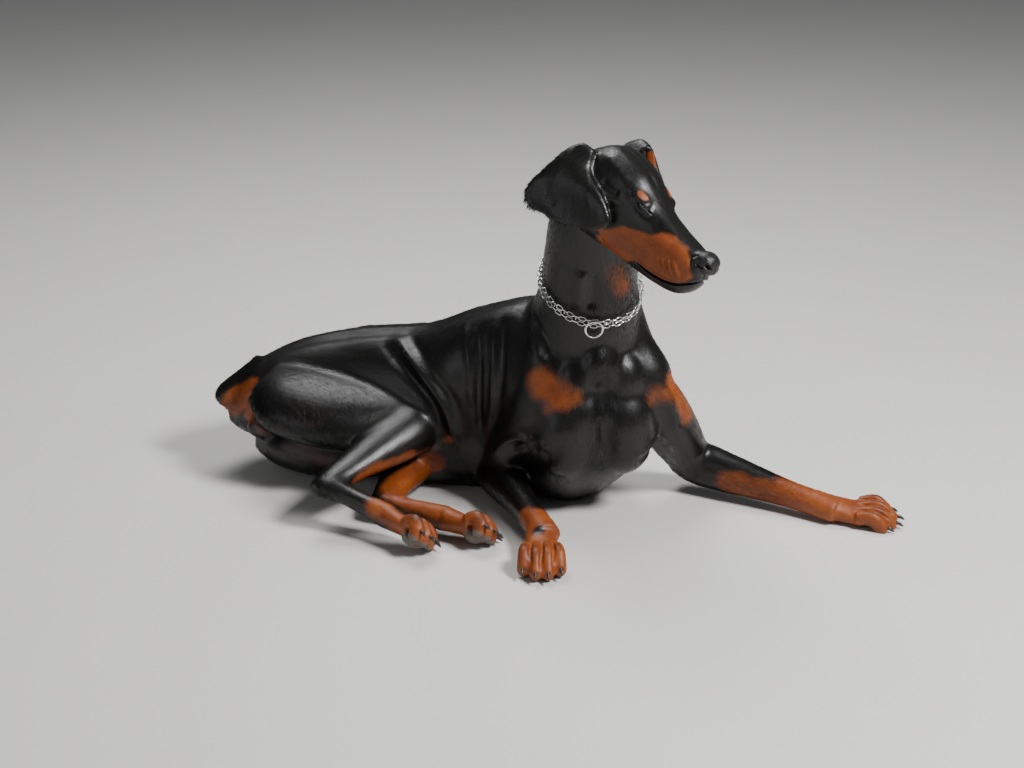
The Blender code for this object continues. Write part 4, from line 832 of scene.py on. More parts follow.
def rust_patches():
    """Patches of rust coat: line through the middle, radius, softness of the edge, strength. A strength
    below 1 mixes black hair in; on the throat and the left foreleg that darkening is painted shade.
    """
    patches = []
    for side in (-1, 1):
        patches += [
            (to_head([(-0.013, 0.032, 0.010), (-0.005, 0.029, 0.009)], side), 0.0072, 0.0022, 1.0),
            (to_head([(-0.093, 0.057, 0.024), (-0.079, 0.058, 0.010)], side), 0.0066, 0.0022, 0.9),
            (to_head([(0.060, 0.004, -0.103), (-0.030, 0.004, -0.112)], side), 0.014, 0.008, 0.9),
        ]
    patches += [
        # Throat rust: real tan, weakened to 0.55 so that black mixes in as painted shade under the jaw
        ([(0.108, -0.054, 0.420), (0.116, -0.047, 0.402), (0.121, -0.040, 0.394)], 0.016, 0.014, 0.55),
        ([(-0.003, -0.054, 0.238), (0.012, -0.061, 0.230), (0.024, -0.064, 0.222)], 0.023, 0.013, 1.0),
        ([(0.020, -0.063, 0.224), (0.046, -0.070, 0.220)], 0.013, 0.013, 0.8),
        ([(0.014, -0.061, 0.226), (0.012, -0.062, 0.204)], 0.013, 0.013, 0.75),
        ([(0.208, -0.004, 0.222), (0.224, -0.004, 0.190), (0.229, 0.004, 0.165)], 0.017, 0.011, 1.0),
        ([(0.176, -0.031, 0.208), (0.206, -0.014, 0.208)], 0.012, 0.014, 0.65),
        ([(-0.013, -0.180, 0.045), (-0.008, -0.230, 0.030), (-0.010, -0.290, 0.010)], 0.050, 0.009, 1.0),
        ([(-0.024, -0.146, 0.030), (-0.013, -0.180, 0.030)], 0.034, 0.008, 1.0),
        # Left foreleg and paw rust: real tan, weakened below full strength so that black mixes in as painted
        # shade
        ([(0.300, 0.004, 0.036), (0.367, -0.026, 0.032), (0.413, -0.045, 0.030)], 0.024, 0.010, 0.80),
        ([(0.400, -0.036, 0.026), (0.458, -0.062, 0.024), (0.600, -0.090, 0.012)], 0.046, 0.012, 0.92),
        ([(-0.150, 0.035, 0.108), (-0.184, 0.028, 0.090), (-0.215, -0.001, 0.086)], 0.0060, 0.0035, 0.9),
        ([(-0.215, -0.001, 0.086), (-0.243, -0.026, 0.082), (-0.276, -0.056, 0.076)], 0.016, 0.006, 1.0),
        ([(-0.262, -0.046, 0.078), (-0.290, -0.070, 0.068)], 0.020, 0.008, 1.0),
        ([(-0.185, 0.046, 0.052), (-0.216, 0.004, 0.048), (-0.240, -0.036, 0.046)], 0.024, 0.008, 1.0),
        ([(-0.240, -0.060, 0.048), (-0.182, -0.102, 0.044), (-0.130, -0.140, 0.040)], 0.017, 0.007, 1.0),
        ([(-0.130, -0.140, 0.030), (-0.050, -0.170, 0.010)], 0.040, 0.009, 0.85),
        ([(-0.262, -0.132, 0.062), (-0.223, -0.172, 0.052), (-0.190, -0.200, 0.045)], 0.018, 0.008, 0.9),
        ([(-0.215, -0.180, 0.030), (-0.130, -0.205, 0.010)], 0.040, 0.009, 0.85),
        ([(-0.525, 0.152, 0.122), (-0.508, 0.146, 0.136), (-0.486, 0.134, 0.152)], 0.0235, 0.006, 1.0),
        ([(-0.490, 0.120, 0.140), (-0.492, 0.118, 0.112)], 0.017, 0.007, 1.0),
    ]
    return patches


def black_patches():
    """Black that lies over the rust: the bridge of the muzzle, the pastern spot, toes and tail."""
    patches = [
        (to_head([(0.095, 0, -0.004), (0.020, 0, 0.000)]), 0.020, 0.006, 1.0),
        ([(-0.018, -0.196, 0.052), (-0.006, -0.193, 0.052)], 0.0090, 0.0050, 0.95),
        ([(-0.552, 0.170, 0.128), (-0.530, 0.172, 0.160), (-0.500, 0.180, 0.180)], 0.016, 0.006, 1.0),
        ([(-0.540, 0.150, 0.096), (-0.552, 0.168, 0.110)], 0.012, 0.005, 0.9),
        ([(-0.480, 0.110, 0.176), (-0.472, 0.104, 0.140), (-0.476, 0.100, 0.118)], 0.007, 0.004, 0.8),
    ]
    for name in PAWS:
        up = paw_frame(name).up
        for root, toe in toes_of(name):
            patches.append(([root + toe * 0.30 + up * 0.016, root + toe * 0.60 + up * 0.014],
                            0.0022, 0.0030, 0.60))
    return patches


def flesh_patches():
    """Thinly haired skin of the groin and belly."""
    return [
        ([(-0.468, 0.096, 0.106), (-0.462, 0.098, 0.098)], 0.0135, 0.004, 1.0),
        ([(-0.416, 0.080, 0.079), (-0.384, 0.068, 0.068), (-0.353, 0.063, 0.052)], 0.013, 0.010, 0.55),
        ([(-0.173, 0.042, 0.090), (-0.178, 0.040, 0.083)], 0.0060, 0.003, 1.0),
        ([(-0.394, 0.031, 0.158), (-0.367, 0.020, 0.146)], 0.012, 0.012, 0.30),
    ]


def pad_patches():
    """Pads of the toes and the broad pad behind them."""
    patches = []
    for name in PAWS:
        ankle, forward, side, up, length, width = paw_frame(name)
        for root, toe in toes_of(name):
            patches.append(([root + toe * 0.68 - up * 0.022, root + toe * 0.80 - up * 0.022],
                            0.0085, 0.0018, 1.0))
        middle = ankle + forward * (length * 0.5 + 0.004) - up * 0.022
        patches.append(([middle - side * width * 0.14, middle + side * width * 0.14], 0.013, 0.002, 1.0))
    return patches


def bare_patches():
    """Bare black leather: the nose and the edges of the lids and lips."""
    patches = [(to_head([(0.120, 0, -0.030), (0.128, 0, -0.034)]), 0.0195, 0.0016, 1.0)]
    for side in (-1, 1):
        slit = EYE_SLIT * 0.014
        patches.append((to_head([EYE_FRONT - slit, EYE_FRONT + slit], side), 0.0036, 0.0014, 1.0))
        patches.append((to_head(MOUTH, side), 0.0026, 0.0014, 1.0))
    return patches


def wobble(co):
    """Slow waves, -1 to 1, that make the edges of the patches uneven."""
    waves = np.zeros(len(co))
    for k, way in enumerate(((120, 90, -60), (-70, 150, 110), (100, -120, 170), (260, 210, -240))):
        waves += np.sin(co @ np.array(way) + k)
    return waves / 4


def eased(share):
    """0 to 1 with a soft start and end."""
    return share * share * (3 - 2 * share)


def coverage(co, patches):
    """0 outside the patches and their strength inside, with soft uneven edges."""
    cover = np.zeros(len(co))
    waves = wobble(co)
    for line, radius, soft, strength in patches:
        line = np.array(line)
        reach = radius + soft * 2
        box = ((co > line.min(axis=0) - reach) & (co < line.max(axis=0) + reach)).all(axis=1)
        chosen = np.nonzero(box)[0]
        gap = distance_along(co[chosen], line)[0] + waves[chosen] * soft * 0.3
        share = np.clip(0.5 + (radius - gap) / (2 * soft), 0, 1)
        cover[chosen] = np.maximum(cover[chosen], strength * eased(share))
    return cover


def depth_inside(x, y, outline):
    """How far points of a plane lie inside a closed outline, negative outside it."""
    loop = np.array([*outline, outline[0]])
    flat = np.column_stack([x, y, np.zeros(len(x))])
    gap = distance_along(flat, np.column_stack([loop, np.zeros(len(loop))]))[0]
    inside = np.zeros(len(x), dtype=bool)
    for (x0, y0), (x1, y1) in zip(loop, loop[1:]):
        crossed = (y0 > y) != (y1 > y)
        inside ^= crossed & (x < x0 + (y - y0) / (y1 - y0 + 1e-12) * (x1 - x0))
    return np.where(inside, gap, -gap)


def face_rust(co):
    """Rust of the cheek and muzzle on both sides of the head."""
    in_head = in_head_frame(co)
    near_face = (np.abs(in_head) < (0.14, 0.09, 0.14)).all(axis=1)
    depth = np.full(len(co), -1.0)
    chosen = np.nonzero(near_face)[0]
    depth[chosen] = depth_inside(in_head[chosen, 0], in_head[chosen, 2], FACE_OUTLINE)
    depth -= wobble(co) * 0.0016
    return eased(np.clip(0.5 + depth / 0.008, 0, 1))


def markings(co):
    """Share of rust coat at each point."""
    rust = np.maximum(coverage(co, rust_patches()), face_rust(co))
    return rust * (1 - coverage(co, black_patches()))


def bones():
    """Straight lengths that the hair follows, from the nose over the back to the tail and the toes."""
    found = [(to_head([(0.12, 0, -0.03)])[0], to_head([(-0.15, 0, -0.01)])[0]),
             (to_head([(-0.11, 0, -0.02)])[0], Vector((0.07, 0.03, 0.36))),
             (Vector((0.07, 0.03, 0.36)), Vector((0.03, 0.05, 0.20))),
             (Vector((0.08, -0.02, 0.30)), Vector((0.09, -0.04, 0.08))),
             (Vector((0.03, 0.07, 0.25)), Vector((-0.20, 0.15, 0.16))),
             (Vector((-0.20, 0.15, 0.16)), Vector((-0.48, 0.19, 0.13))),
             (TAIL_ROOT, TAIL_TIP)]
    for side in (-1, 1):
        ear = to_head([(-0.10, 0.05, 0.02), (-0.11, 0.085, -0.03), (-0.11, 0.09, -0.08)], side)
        found += list(zip(ear, ear[1:]))
    for name, points in LEGS.items():
        forward = Vector(PAWS[name]["forward"]).normalized()
        found += list(zip(points, points[1:])) + [(points[-1], points[-1] + forward * 0.1)]
    return found


def lie_of(co):
    """Way the hair points at each place, blended from the nearest bones."""
    lie = np.zeros_like(co)
    for start, end in bones():
        gap = distance_along(co, np.array([start, end]))[0]
        lie += np.array((end - start).normalized()) / (gap[:, None] ** 3 + 1e-6)
    return lie


def axes_of(start, end):
    """Unit vectors along a bone and across it both ways."""
    axis = (end - start).normalized()
    side = axis.orthogonal().normalized()
    return axis, side, axis.cross(side)


def strands(co):
    """Place of each point along and across its hair, and how clear it is of the next bone's hair."""
    best = np.full(len(co), 1e9)
    second = best
    strand = np.zeros_like(co)
    for start, end in bones():
        middle_part = np.array([start.lerp(end, BONE_END), start.lerp(end, 1 - BONE_END)])
        gap = distance_along(co, middle_part)[0]
        axis, side, across = axes_of(start, end)
        turn = np.array([axis * STRETCH, side, across])
        closer = gap < best
        second = np.where(closer, best, np.minimum(second, gap))
        best = np.where(closer, gap, best)
        strand[closer] = (co[closer] - np.array(start)) @ turn.T
    return strand, np.clip((second - best) / SEAM, 0, 1)


def unwrapped(co):
    """The skin laid flat: one square tile for each bone, along it one way and round it the other."""
    best = np.full(len(co), 1e9)
    flat = np.zeros((len(co), 2))
    for k, (start, end) in enumerate(bones()):
        gap, along = distance_along(co, np.array([start, end]))
        side, across = axes_of(start, end)[1:]
        offset = co - np.array(start)
        turn = np.arctan2(offset @ np.array(across), offset @ np.array(side)) / (2 * math.pi) + 0.5
        inside = TILE_MARGIN + (1 - 2 * TILE_MARGIN) * np.column_stack([along, turn])
        closer = gap < best
        best = np.where(closer, gap, best)
        flat[closer] = (inside[closer] + (k % TILES, k // TILES)) / TILES
    return flat


def flat_unit(vectors, normals):
    """Unit vectors of the parts that lie in the surface."""
    vectors = vectors - normals * (vectors * normals).sum(axis=1)[:, None]
    return vectors / np.maximum(np.linalg.norm(vectors, axis=1), 1e-9)[:, None]


def add_attribute(mesh, name, values):
    kind = "FLOAT_VECTOR" if values.ndim == 2 else "FLOAT"
    attribute = mesh.attributes.new(name, kind, "POINT")
    attribute.data.foreach_set("vector" if values.ndim == 2 else "value",
                               np.asarray(values, dtype=np.float32).ravel())


def wash(mesh, co):
    """Store on a mesh what the coat's material reads."""
    add_attribute(mesh, "rust", markings(co))
    add_attribute(mesh, "bare", coverage(co, bare_patches()))
    add_attribute(mesh, "pad", coverage(co, pad_patches()))
    add_attribute(mesh, "flesh", coverage(co, flesh_patches()))
    strand, clear = strands(co)
    add_attribute(mesh, "strand", strand)
    add_attribute(mesh, "clear", clear)


class Nodes:
    """Short way to wire a material."""

    def __init__(self, name):
        self.material = bpy.data.materials.new(name)
        self.material.use_nodes = True
        self.tree = self.material.node_tree
        self.shader = self.tree.nodes["Principled BSDF"]

    def add(self, kind, inputs=(), **settings):
        node = self.tree.nodes.new(kind)
        for key, value in settings.items():
            setattr(node, key, value)
        for socket, value in dict(inputs).items():
            self.put(node, socket, value)
        return node

    def put(self, node, socket, value):
        if isinstance(value, bpy.types.NodeSocket):
            self.tree.links.new(value, node.inputs[socket])
        else:
            node.inputs[socket].default_value = value

    def attribute(self, name):
        return self.add("ShaderNodeAttribute", attribute_name=name)

    def math(self, operation, a, b=0.0):
        return self.add("ShaderNodeMath", {0: a, 1: b}, operation=operation).outputs[0]

    def mix(self, share, a, b):
        node = self.add("ShaderNodeMix", data_type="RGBA")
        self.put(node, 0, share)
        self.put(node, 6, a)
        self.put(node, 7, b)
        return node.outputs[2]

    def noise(self, scale, vector=None, detail=2.0, rough=0.5):
        node = self.add("ShaderNodeTexNoise", {"Scale": scale, "Detail": detail, "Roughness": rough})
        if vector is None:
            vector = self.add("ShaderNodeTexCoord").outputs["Object"]
        self.put(node, "Vector", vector)
        return node.outputs["Fac"]

    def ramp(self, value, *stops):
        node = self.add("ShaderNodeValToRGB", {0: value})
        while len(node.color_ramp.elements) < len(stops):
            node.color_ramp.elements.new(0.5)
        for element, (place, colour) in zip(node.color_ramp.elements, stops):
            element.position = place
            element.color = colour if len(colour) == 4 else (*colour, 1)
        return node.outputs[0]

    def bump(self, height, strength, distance):
        node = self.add("ShaderNodeBump", {"Height": height, "Strength": strength, "Distance": distance})
        return node.outputs["Normal"]


def grey(value):
    return (value, value, value, 1)


def coat_material():
    """Short glossy hair, black and rust, with bare leather where the skin shows."""
    n = Nodes("short coat")
    place = n.add("ShaderNodeTexCoord").outputs["Object"]
    strand = n.attribute("strand").outputs["Vector"]
    hair = n.noise(1100.0, strand, 3.0, 0.6)
    lock = n.noise(230.0, strand, 3.0, 0.6)
    cloud = n.noise(34.0, place, 4.0, 0.6)
    grain = n.math("MULTIPLY", n.math("SUBTRACT", n.math("ADD", lock, hair), 1.0), 0.55)
    rust = n.attribute("rust").outputs["Fac"]
    between = n.math("MULTIPLY", n.math("SUBTRACT", 1.0, rust), rust)
    rust = n.math("ADD", rust, n.math("MULTIPLY", grain, n.math("MULTIPLY", between, 4.0)))
    rust = n.ramp(rust, (0.08, grey(0)), (0.92, grey(1)))
    black = n.mix(hair, (0.0016, 0.0015, 0.0014, 1), (0.0085, 0.0076, 0.0068, 1))
    warm = n.mix(hair, (0.070, 0.013, 0.0018, 1), (0.42, 0.098, 0.010, 1))
    shade = n.ramp(cloud, (0.38, grey(0)), (0.64, grey(0.85)))
    warm = n.mix(shade, warm, (0.17, 0.032, 0.0045, 1))
    pebble = n.add("ShaderNodeTexVoronoi", {"Vector": place, "Scale": 950.0}).outputs["Distance"]
    bare = n.attribute("bare").outputs["Fac"]
    pad = n.attribute("pad").outputs["Fac"]
    flesh = n.attribute("flesh").outputs["Fac"]
    leather = n.mix(pebble, (0.022, 0.021, 0.021, 1), (0.005, 0.0048, 0.0048, 1))
    sole = n.mix(pebble, (0.190, 0.160, 0.140, 1), (0.070, 0.056, 0.048, 1))
    skin = n.mix(cloud, (0.120, 0.060, 0.050, 1), (0.050, 0.028, 0.024, 1))
    colour = n.mix(flesh, n.mix(rust, black, warm), skin)
    colour = n.mix(bare, n.mix(pad, colour, sole), leather)
    n.put(n.shader, "Base Color", colour)
    rough = n.mix(rust, n.ramp(lock, (0.2, grey(0.27)), (0.8, grey(0.42))), grey(0.48))
    rough = n.mix(n.math("MAXIMUM", pad, flesh), rough, grey(0.58))
    n.put(n.shader, "Roughness", n.mix(bare, rough, grey(0.30)))
    skinny = n.math("MAXIMUM", bare, pad)
    height = n.math("ADD", n.math("MULTIPLY", hair, 0.40), n.math("MULTIPLY", lock, 0.60))
    height = n.mix(n.attribute("clear").outputs["Fac"], grey(0.5), height)
    height = n.mix(skinny, height, n.math("MULTIPLY", pebble, 0.6))
    n.put(n.shader, "Normal", n.bump(height, 0.50, 0.0010))
    n.put(n.shader, "Specular IOR Level", 0.42)
    return n.material


def add_piece(name, mesh, material, smooth=True):
    """Object at the origin of the frame that rides on the body."""
    mesh.transform(Matrix.Translation(-MIDDLE))
    mesh.name = name
    mesh.materials.clear()
    mesh.materials.append(material)
    if smooth:
        mesh.shade_smooth()
    piece = bpy.data.objects.new(name, mesh)
    bpy.context.scene.collection.objects.link(piece)
    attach(piece, "root")
    return piece


def add_skin(skin, material):
    wash(skin, points_of(skin))
    piece = add_piece("skin", skin, material)
    flesh = [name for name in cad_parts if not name.startswith(("claw", "eye", "collar"))]
    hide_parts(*flesh)


def steel_material():
    n = Nodes("polished steel")
    n.put(n.shader, "Base Color", (0.72, 0.72, 0.70, 1))
    n.put(n.shader, "Metallic", 1.0)
    n.put(n.shader, "Roughness", n.ramp(n.noise(400.0), (0.3, grey(0.10)), (0.7, grey(0.24))))
    n.put(n.shader, "Normal", n.bump(n.noise(700.0), 0.15, 0.0003))
    return n.material


def horn_material():
    n = Nodes("claw horn")
    shade = n.noise(240.0, None, 4.0)
    n.put(n.shader, "Base Color", n.mix(shade, (0.010, 0.009, 0.008, 1), (0.055, 0.045, 0.038, 1)))
    n.put(n.shader, "Roughness", n.ramp(shade, (0.3, grey(0.28)), (0.7, grey(0.45))))
    n.put(n.shader, "Normal", n.bump(shade, 0.3, 0.0004))
    return n.material


def eye_material():
    n = Nodes("dark brown eye")
    ring = n.noise(500.0, None, 3.0)
    n.put(n.shader, "Base Color", n.mix(ring, (0.006, 0.003, 0.002, 1), (0.035, 0.013, 0.005, 1)))
    n.put(n.shader, "Roughness", 0.06)
    n.put(n.shader, "Coat Weight", 1.0)
    return n.material


def ruffled_patches():
    """Where the coat breaks the smooth form: breeches, tail, throat, chest seam, belly and limbs."""
    patches = [
        ([(-0.386, 0.100, 0.200), (-0.348, 0.076, 0.186), (-0.300, 0.050, 0.168)], 0.034, 0.016, 1.0),
        ([(-0.460, 0.070, 0.160), (-0.400, 0.030, 0.150), (-0.350, 0.010, 0.125)], 0.030, 0.014, 0.8),
        ([(-0.480, 0.240, 0.120), (-0.430, 0.280, 0.070)], 0.040, 0.016, 0.8),
        ([TAIL_ROOT, TAIL_TIP], 0.050, 0.012, 0.7),
        ([(0.115, -0.045, 0.420), (0.090, -0.050, 0.340)], 0.026, 0.012, 0.5),
        ([(0.098, -0.060, 0.290), (0.096, -0.070, 0.112)], 0.022, 0.010, 0.8),
        ([(-0.190, 0.050, 0.070), (-0.090, 0.000, 0.050)], 0.040, 0.014, 0.7),
        ([(-0.020, 0.100, 0.350), (-0.250, 0.180, 0.260)], 0.018, 0.012, 0.5),
    ]
    for name, side in (("right", -1), ("left", 1)):
        elbow, wrist = LEGS[f"fore_{name}"][1:]
        hock = LEGS[f"hind_{name}"][2]
        patches += [([elbow, elbow.lerp(wrist, 0.7)], 0.030, 0.012, 0.6),
                    ([hock, hock], 0.030, 0.012, 0.6),
                    (to_head(EAR_BACK[2:], side), 0.010, 0.005, 0.6)]
    return patches


def roots_on(mesh, count, rng):
    """Seeded places on the skin, denser where the coat is ruffled: points, normals, how ruffled."""
    mesh = with_modifier(mesh, "TRIANGULATE")
    co = points_of(mesh)
    corners = np.zeros(len(mesh.polygons) * 3, dtype=np.int32)
    mesh.polygons.foreach_get("vertices", corners)
    corners = corners.reshape(-1, 3)
    a, b, c = (co[corners[:, k]] for k in range(3))
    cross = np.cross(b - a, c - a)
    area = np.linalg.norm(cross, axis=1)
    middle = (a + b + c) / 3
    bare = np.maximum(coverage(middle, bare_patches()), coverage(middle, pad_patches()))
    hidden = (coverage(middle, flesh_patches()) > 0.5) | (bare > 0.1) | (middle[:, 2] < 0.006)
    hidden |= near(middle, both_sides([EYE_FRONT]), 0.013)
    ruffled = coverage(middle, ruffled_patches())
    weight = area * (FLAT_DENSITY + RUFFLED_DENSITY * ruffled) * ~hidden
    chosen = rng.choice(len(area), size=count, p=weight / weight.sum())
    u, v = rng.random(count), rng.random(count)
    over = u + v > 1
    u[over], v[over] = 1 - u[over], 1 - v[over]
    points = a[chosen] + u[:, None] * (b - a)[chosen] + v[:, None] * (c - a)[chosen]
    return points, cross[chosen] / area[chosen, None], ruffled[chosen]


def tuft_sizes(points, ruffled, rng):
    """Length and lift of each tuft, least on the face and the feet."""
    face = np.array(to_head([(0.060, 0, -0.040)])[0])
    from_face = np.linalg.norm(points - face, axis=1)
    from_paws = np.min([np.linalg.norm(points - np.array(c), axis=1) for c in paw_centres()], axis=0)
    small = np.clip(np.minimum((from_face - 0.06) / 0.12, (from_paws - 0.04) / 0.08), 0, 1)
    length = TUFT_LENGTH * (0.50 + 0.50 * small) * (0.75 + 0.5 * rng.random(len(points)))
    length *= 1 + 0.6 * ruffled
    lift = 0.05 + 0.05 * rng.random(len(points)) + 0.16 * ruffled * rng.random(len(points))
    return length, lift


def add_tufts(skin, material):
    """Thin closed blades that lie along the body, each three-sided, bent once and pointed."""
    rng = np.random.default_rng(TUFT_SEED)
    points, normals, ruffled = roots_on(skin, TUFTS, rng)
    length, lift = tuft_sizes(points, ruffled, rng)
    lie = flat_unit(lie_of(points), normals)
    side = np.cross(normals, lie)
    sway = rng.normal(0, 0.12, len(points)) + 0.5 * wobble(points * 2.5) * (0.3 + ruffled)
    lie = lie * np.cos(sway)[:, None] + side * np.sin(sway)[:, None]
    side = np.cross(normals, lie)
    width = TUFT_WIDTH * (0.7 + 0.6 * rng.random(len(points))) * np.clip(length / TUFT_LENGTH, 0.6, 1.2)
    # Root, bend and tip of a blade: place along it, depth in the skin and share of its width
    stations = ((0.00, -0.0004, 0.8), (0.45, 0.0, 1.0), (1.00, 0.0, 0.0))
    rings = []
    for along, sunk, wide in stations:
        rise = sunk + length * lift * along * (1.6 - along)
        centre = points + lie * (length * along)[:, None] + normals * rise[:, None]
        half = side * (width * wide / 2)[:, None]
        if wide:
            rings += [centre - half, centre + half, centre + normals * (width * 0.35)[:, None]]
        else:
            rings.append(centre)
    co = np.stack(rings, axis=1)
    co[:, :, 2] = np.maximum(co[:, :, 2], FLOOR_GAP)
    # Root, the sides up to the bend, and the three that meet in the tip
    faces = ((2, 1, 0), (0, 1, 4, 3), (1, 2, 5, 4), (2, 0, 3, 5), (3, 4, 6), (4, 5, 6), (5, 3, 6))
    spread = np.array([(-1, -1), (1, -1), (0, -1), (-1, 0), (1, 0), (0, 0), (0, 1)]) * PATCH / 2
    flat = unwrapped(points)
    for k, start in enumerate(range(0, TUFTS, TUFTS_IN_PIECE), 1):
        part = slice(start, start + TUFTS_IN_PIECE)
        add_tuft_piece(f"coat_{k}", co[part], faces, flat[part, None] + spread, points[part],
                       normals[part], material)


def add_tuft_piece(name, co, faces, flat, roots, normals, material):
    """One mesh of tufts; they take their shading from the skin below, so that the coat stays sleek."""
    count, corners = co.shape[:2]
    first = np.arange(count) * corners
    loops = np.concatenate([np.array(face) for face in faces])
    loops = (first[:, None] + loops).ravel()
    sizes = np.tile([len(face) for face in faces], count)
    mesh = bpy.data.meshes.new(name)
    mesh.vertices.add(count * corners)
    mesh.vertices.foreach_set("co", co.astype(np.float32).ravel())
    mesh.loops.add(len(loops))
    mesh.loops.foreach_set("vertex_index", loops.astype(np.int32))
    mesh.polygons.add(len(sizes))
    mesh.polygons.foreach_set("loop_start", np.concatenate([[0], np.cumsum(sizes)[:-1]]).astype(np.int32))
    mesh.update(calc_edges=True)
    mesh.validate()
    layer = mesh.uv_layers.new(name="OFBake")
    layer.data.foreach_set("uv", flat.reshape(-1, 2)[loops].astype(np.float32).ravel())
    strand, clear = strands(roots)
    hairless = dict.fromkeys(("bare", "pad", "flesh"), np.zeros(count))
    for key, values in dict(rust=markings(roots), **hairless, strand=strand, clear=clear).items():
        add_attribute(mesh, key, np.repeat(values, corners, axis=0))
    mesh.shade_smooth()
    mesh.normals_split_custom_set_from_vertices(np.repeat(normals, corners, axis=0))
    add_piece(name, mesh, material, smooth=False)


def collar_path(tree):
    """Closed line round the neck just clear of the skin: points, outward and onward directions."""
    axis = COLLAR_AXIS.normalized()
    front = Vector((0.12, -1, 0))
    front = (front - axis * front.dot(axis)).normalized()
    across = axis.cross(front)
    turns = [2 * math.pi * k / COLLAR_STEPS for k in range(COLLAR_STEPS)]
    rays = [front * math.cos(turn) + across * math.sin(turn) for turn in turns]
    radii = []
    for ray in rays:
        levels = (COLLAR_CENTRE + axis * rise for rise in (-ROW_GAP, 0, ROW_GAP))
        radii.append(max((tree.ray_cast(level + ray * 0.25, -ray)[0] - level).length for level in levels))
    radii = np.array(radii)
    for _ in range(6):
        radii = np.maximum(radii, (np.roll(radii, 1) + np.roll(radii, -1)) / 2)
    corners = [COLLAR_CENTRE + ray * (radius + COLLAR_LIFT) for ray, radius in zip(rays, radii)]
    corners.append(corners[0])
    lengths = np.cumsum([0] + [(b - a).length for a, b in zip(corners, corners[1:])])
    count = int(lengths[-1] / LINK_PITCH / 2) * 2
    path = []
    for k in range(count):
        at = lengths[-1] * k / count
        i = int(np.searchsorted(lengths, at, side="right")) - 1
        point = corners[i].lerp(corners[i + 1], (at - lengths[i]) / (lengths[i + 1] - lengths[i]))
        along = (corners[i + 1] - corners[i]).normalized()
        out = (point - COLLAR_CENTRE).normalized()
        out = (out - along * out.dot(along)).normalized()
        path.append((point, out, along))
    return path


def add_wire(bm, points, radius, normal, closed=True, sides=8):
    """Round wire through points that lie in the plane across a normal."""
    rings = []
    last = len(points) - 1
    for k, point in enumerate(points):
        ahead = points[(k + 1) % len(points)] if closed else points[min(k + 1, last)]
        behind = points[k - 1] if closed else points[max(k - 1, 0)]
        along = (ahead - behind).normalized()
        out = normal.cross(along).normalized()
        rings.append([bm.verts.new(point + (out * math.cos(a) + normal * math.sin(a)) * radius)
                      for a in (2 * math.pi * i / sides for i in range(sides))])
    pairs = list(zip(rings, rings[1:])) + ([(rings[-1], rings[0])] if closed else [])
    for low, high in pairs:
        for i in range(sides):
            bm.faces.new((low[i], low[i - 1], high[i - 1], high[i]))
    if not closed:
        bm.faces.new(rings[0])
        bm.faces.new(list(reversed(rings[-1])))


def add_link(bm, centre, along, across):
    """Oval link: straight sides and round ends."""
    straight = (LINK_LENGTH - LINK_WIDTH) / 2
    radius = LINK_WIDTH / 2 - LINK_WIRE
    points = []
    for k in range(16):
        turn = 2 * math.pi * (k + 0.5) / 16
        shift = straight if math.cos(turn) > 0 else -straight
        points.append(centre + along * (shift + radius * math.cos(turn)) + across * radius * math.sin(turn))
    add_wire(bm, points, LINK_WIRE, along.cross(across).normalized())


def add_collar(skin, material):
    """Two rows of links joined by thin cross wires, and the ring in front."""
    path = collar_path(tree_of(skin))
    axis = COLLAR_AXIS.normalized()
    chain = bmesh.new()
    for k, (point, out, along) in enumerate(path):
        up = out.cross(along).normalized()
        for row in (-1, 1):
            centre = point + up * ROW_GAP * row
            add_link(chain, centre, along, (up + out * (0.7 if k % 2 else -0.7)).normalized())
        if k % 2:
            add_wire(chain, [point - up * ROW_GAP * 0.6, point + up * ROW_GAP * 0.6], LINK_WIRE * 0.8, out,
                     closed=False)
    piece = add_piece("collar_links", mesh_of(chain), material)
    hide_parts("collar_chain")
    point, normal, side = path[0]
    down = (normal * 0.35 - axis).normalized()
    out = (normal - down * normal.dot(down)).normalized()
    centre = point + out * (LINK_WIRE + RING_WIRE + ROW_GAP * 0.5) + down * RING_RADIUS * 0.55
    side = down.cross(out)
    spokes = [side * math.cos(a) + down * math.sin(a) for a in (math.pi * i / 24 for i in range(48))]
    ring = bmesh.new()
    add_wire(ring, [centre + spoke * RING_RADIUS for spoke in spokes], RING_WIRE, out, sides=12)
    piece = add_piece("collar_hoop", mesh_of(ring), material)
    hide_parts("collar_ring")


def eye_places(skin):
    """Centre of each eyeball, set just under the edges of its lids, and the way that it looks."""
    tree = tree_of(skin)
    places = []
    for side in (-1, 1):
        middle, inside = to_head([EYE_FRONT, EYE_FRONT - EYE_OUT * 0.02], side)
        edges = to_head([EYE_FRONT + LID_ABOVE, EYE_FRONT + LID_BELOW], side)
        rim = sum((tree.find_nearest(edge)[0] for edge in edges), Vector()) / 2
        outward = (middle - inside).normalized()
        places.append((rim - outward * (EYEBALL + LID_THICKNESS), outward))
    return places


def add_eyes(places, material):
    for (centre, outward), name in zip(places, ("right", "left")):
        eye = bmesh.new()
        add_ball(eye, centre, (EYEBALL, EYEBALL, EYEBALL), outward, segments=48)
        piece = add_piece(f"eyeball_{name}", mesh_of(eye), material)
        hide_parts(f"eye_{name}")


def add_claws(material):
    for name in PAWS:
        for k, claw in enumerate(claws_of(name, sides=20, steps=6), 1):
            piece = add_piece(f"nail_{name}_{k}", mesh_of(claw), material)
            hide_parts(f"claw_{name}_{k}")


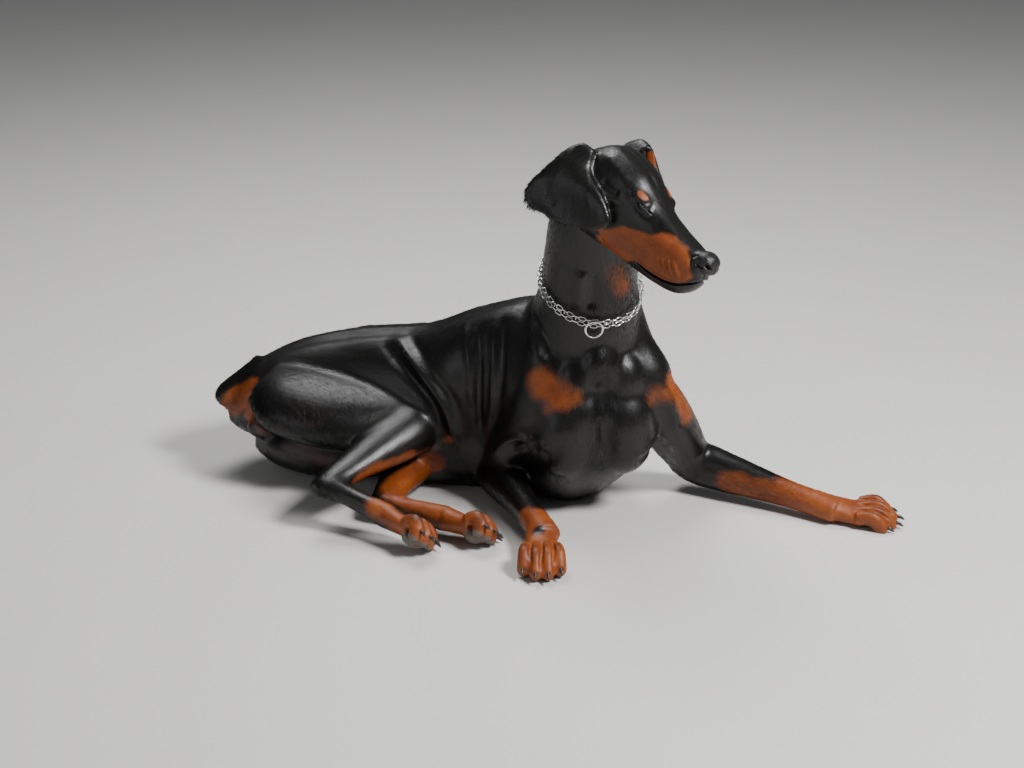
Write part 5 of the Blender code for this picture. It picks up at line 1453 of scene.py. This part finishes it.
def add_stage():
    """Pale floor and soft studio light from the upper right."""
    n = Nodes("pale floor")
    n.put(n.shader, "Base Color", n.mix(n.noise(3.0), (0.62, 0.61, 0.59, 1), (0.66, 0.65, 0.63, 1)))
    n.put(n.shader, "Roughness", 0.7)
    bm = bmesh.new()
    bmesh.ops.create_grid(bm, x_segments=1, y_segments=1, size=9)
    floor = bpy.data.objects.new("floor", mesh_of(bm))
    floor.data.materials.append(n.material)
    bpy.context.scene.collection.objects.link(floor)
    for name, place, aim, size, power in (
            ("key", (1.7, -1.3, 2.5), (0.05, 0.0, 0.25), 0.7, 150),
            ("fill", (-2.4, -2.2, 1.2), (0.0, 0.0, 0.2), 1.6, 12),
            ("top", (-0.4, 1.2, 2.6), (0.0, 0.0, 0.2), 1.4, 60)):
        light = bpy.data.lights.new(name, "AREA")
        light.size = size
        light.energy = power
        lamp = bpy.data.objects.new(name, light)
        lamp.location = place
        lamp.rotation_euler = (Vector(aim) - Vector(place)).to_track_quat("-Z", "Y").to_euler()
        bpy.context.scene.collection.objects.link(lamp)
    world = bpy.data.worlds.new("studio")
    bpy.context.scene.world = world
    world.use_nodes = True
    world.node_tree.nodes["Background"].inputs["Color"].default_value = (0.80, 0.83, 0.86, 1)
    world.node_tree.nodes["Background"].inputs["Strength"].default_value = 0.14


def add_camera():
    camera = bpy.data.objects.new("camera", bpy.data.cameras.new("camera"))
    camera.data.sensor_width = SENSOR
    camera.data.lens = FOCAL_PIXELS / PICTURE_WIDTH * SENSOR
    camera.location = CAMERA_PLACE - MIDDLE
    camera.rotation_euler = (math.radians(90 - CAMERA_DOWN), 0, 0)
    bpy.context.scene.collection.objects.link(camera)
    bpy.context.scene.camera = camera


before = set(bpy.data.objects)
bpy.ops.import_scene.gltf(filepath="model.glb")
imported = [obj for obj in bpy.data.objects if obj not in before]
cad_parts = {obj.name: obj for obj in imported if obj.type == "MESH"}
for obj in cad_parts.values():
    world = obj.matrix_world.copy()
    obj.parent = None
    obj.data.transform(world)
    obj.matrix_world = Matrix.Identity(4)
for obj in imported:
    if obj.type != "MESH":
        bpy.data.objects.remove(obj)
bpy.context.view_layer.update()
add_camera()
add_stage()
coat = coat_material()
skin = fine_skin()
eyes = eye_places(skin)
add_tufts(skin, coat)
add_collar(skin, steel_material())
add_skin(skin, coat)
add_eyes(eyes, eye_material())
add_claws(horn_material())
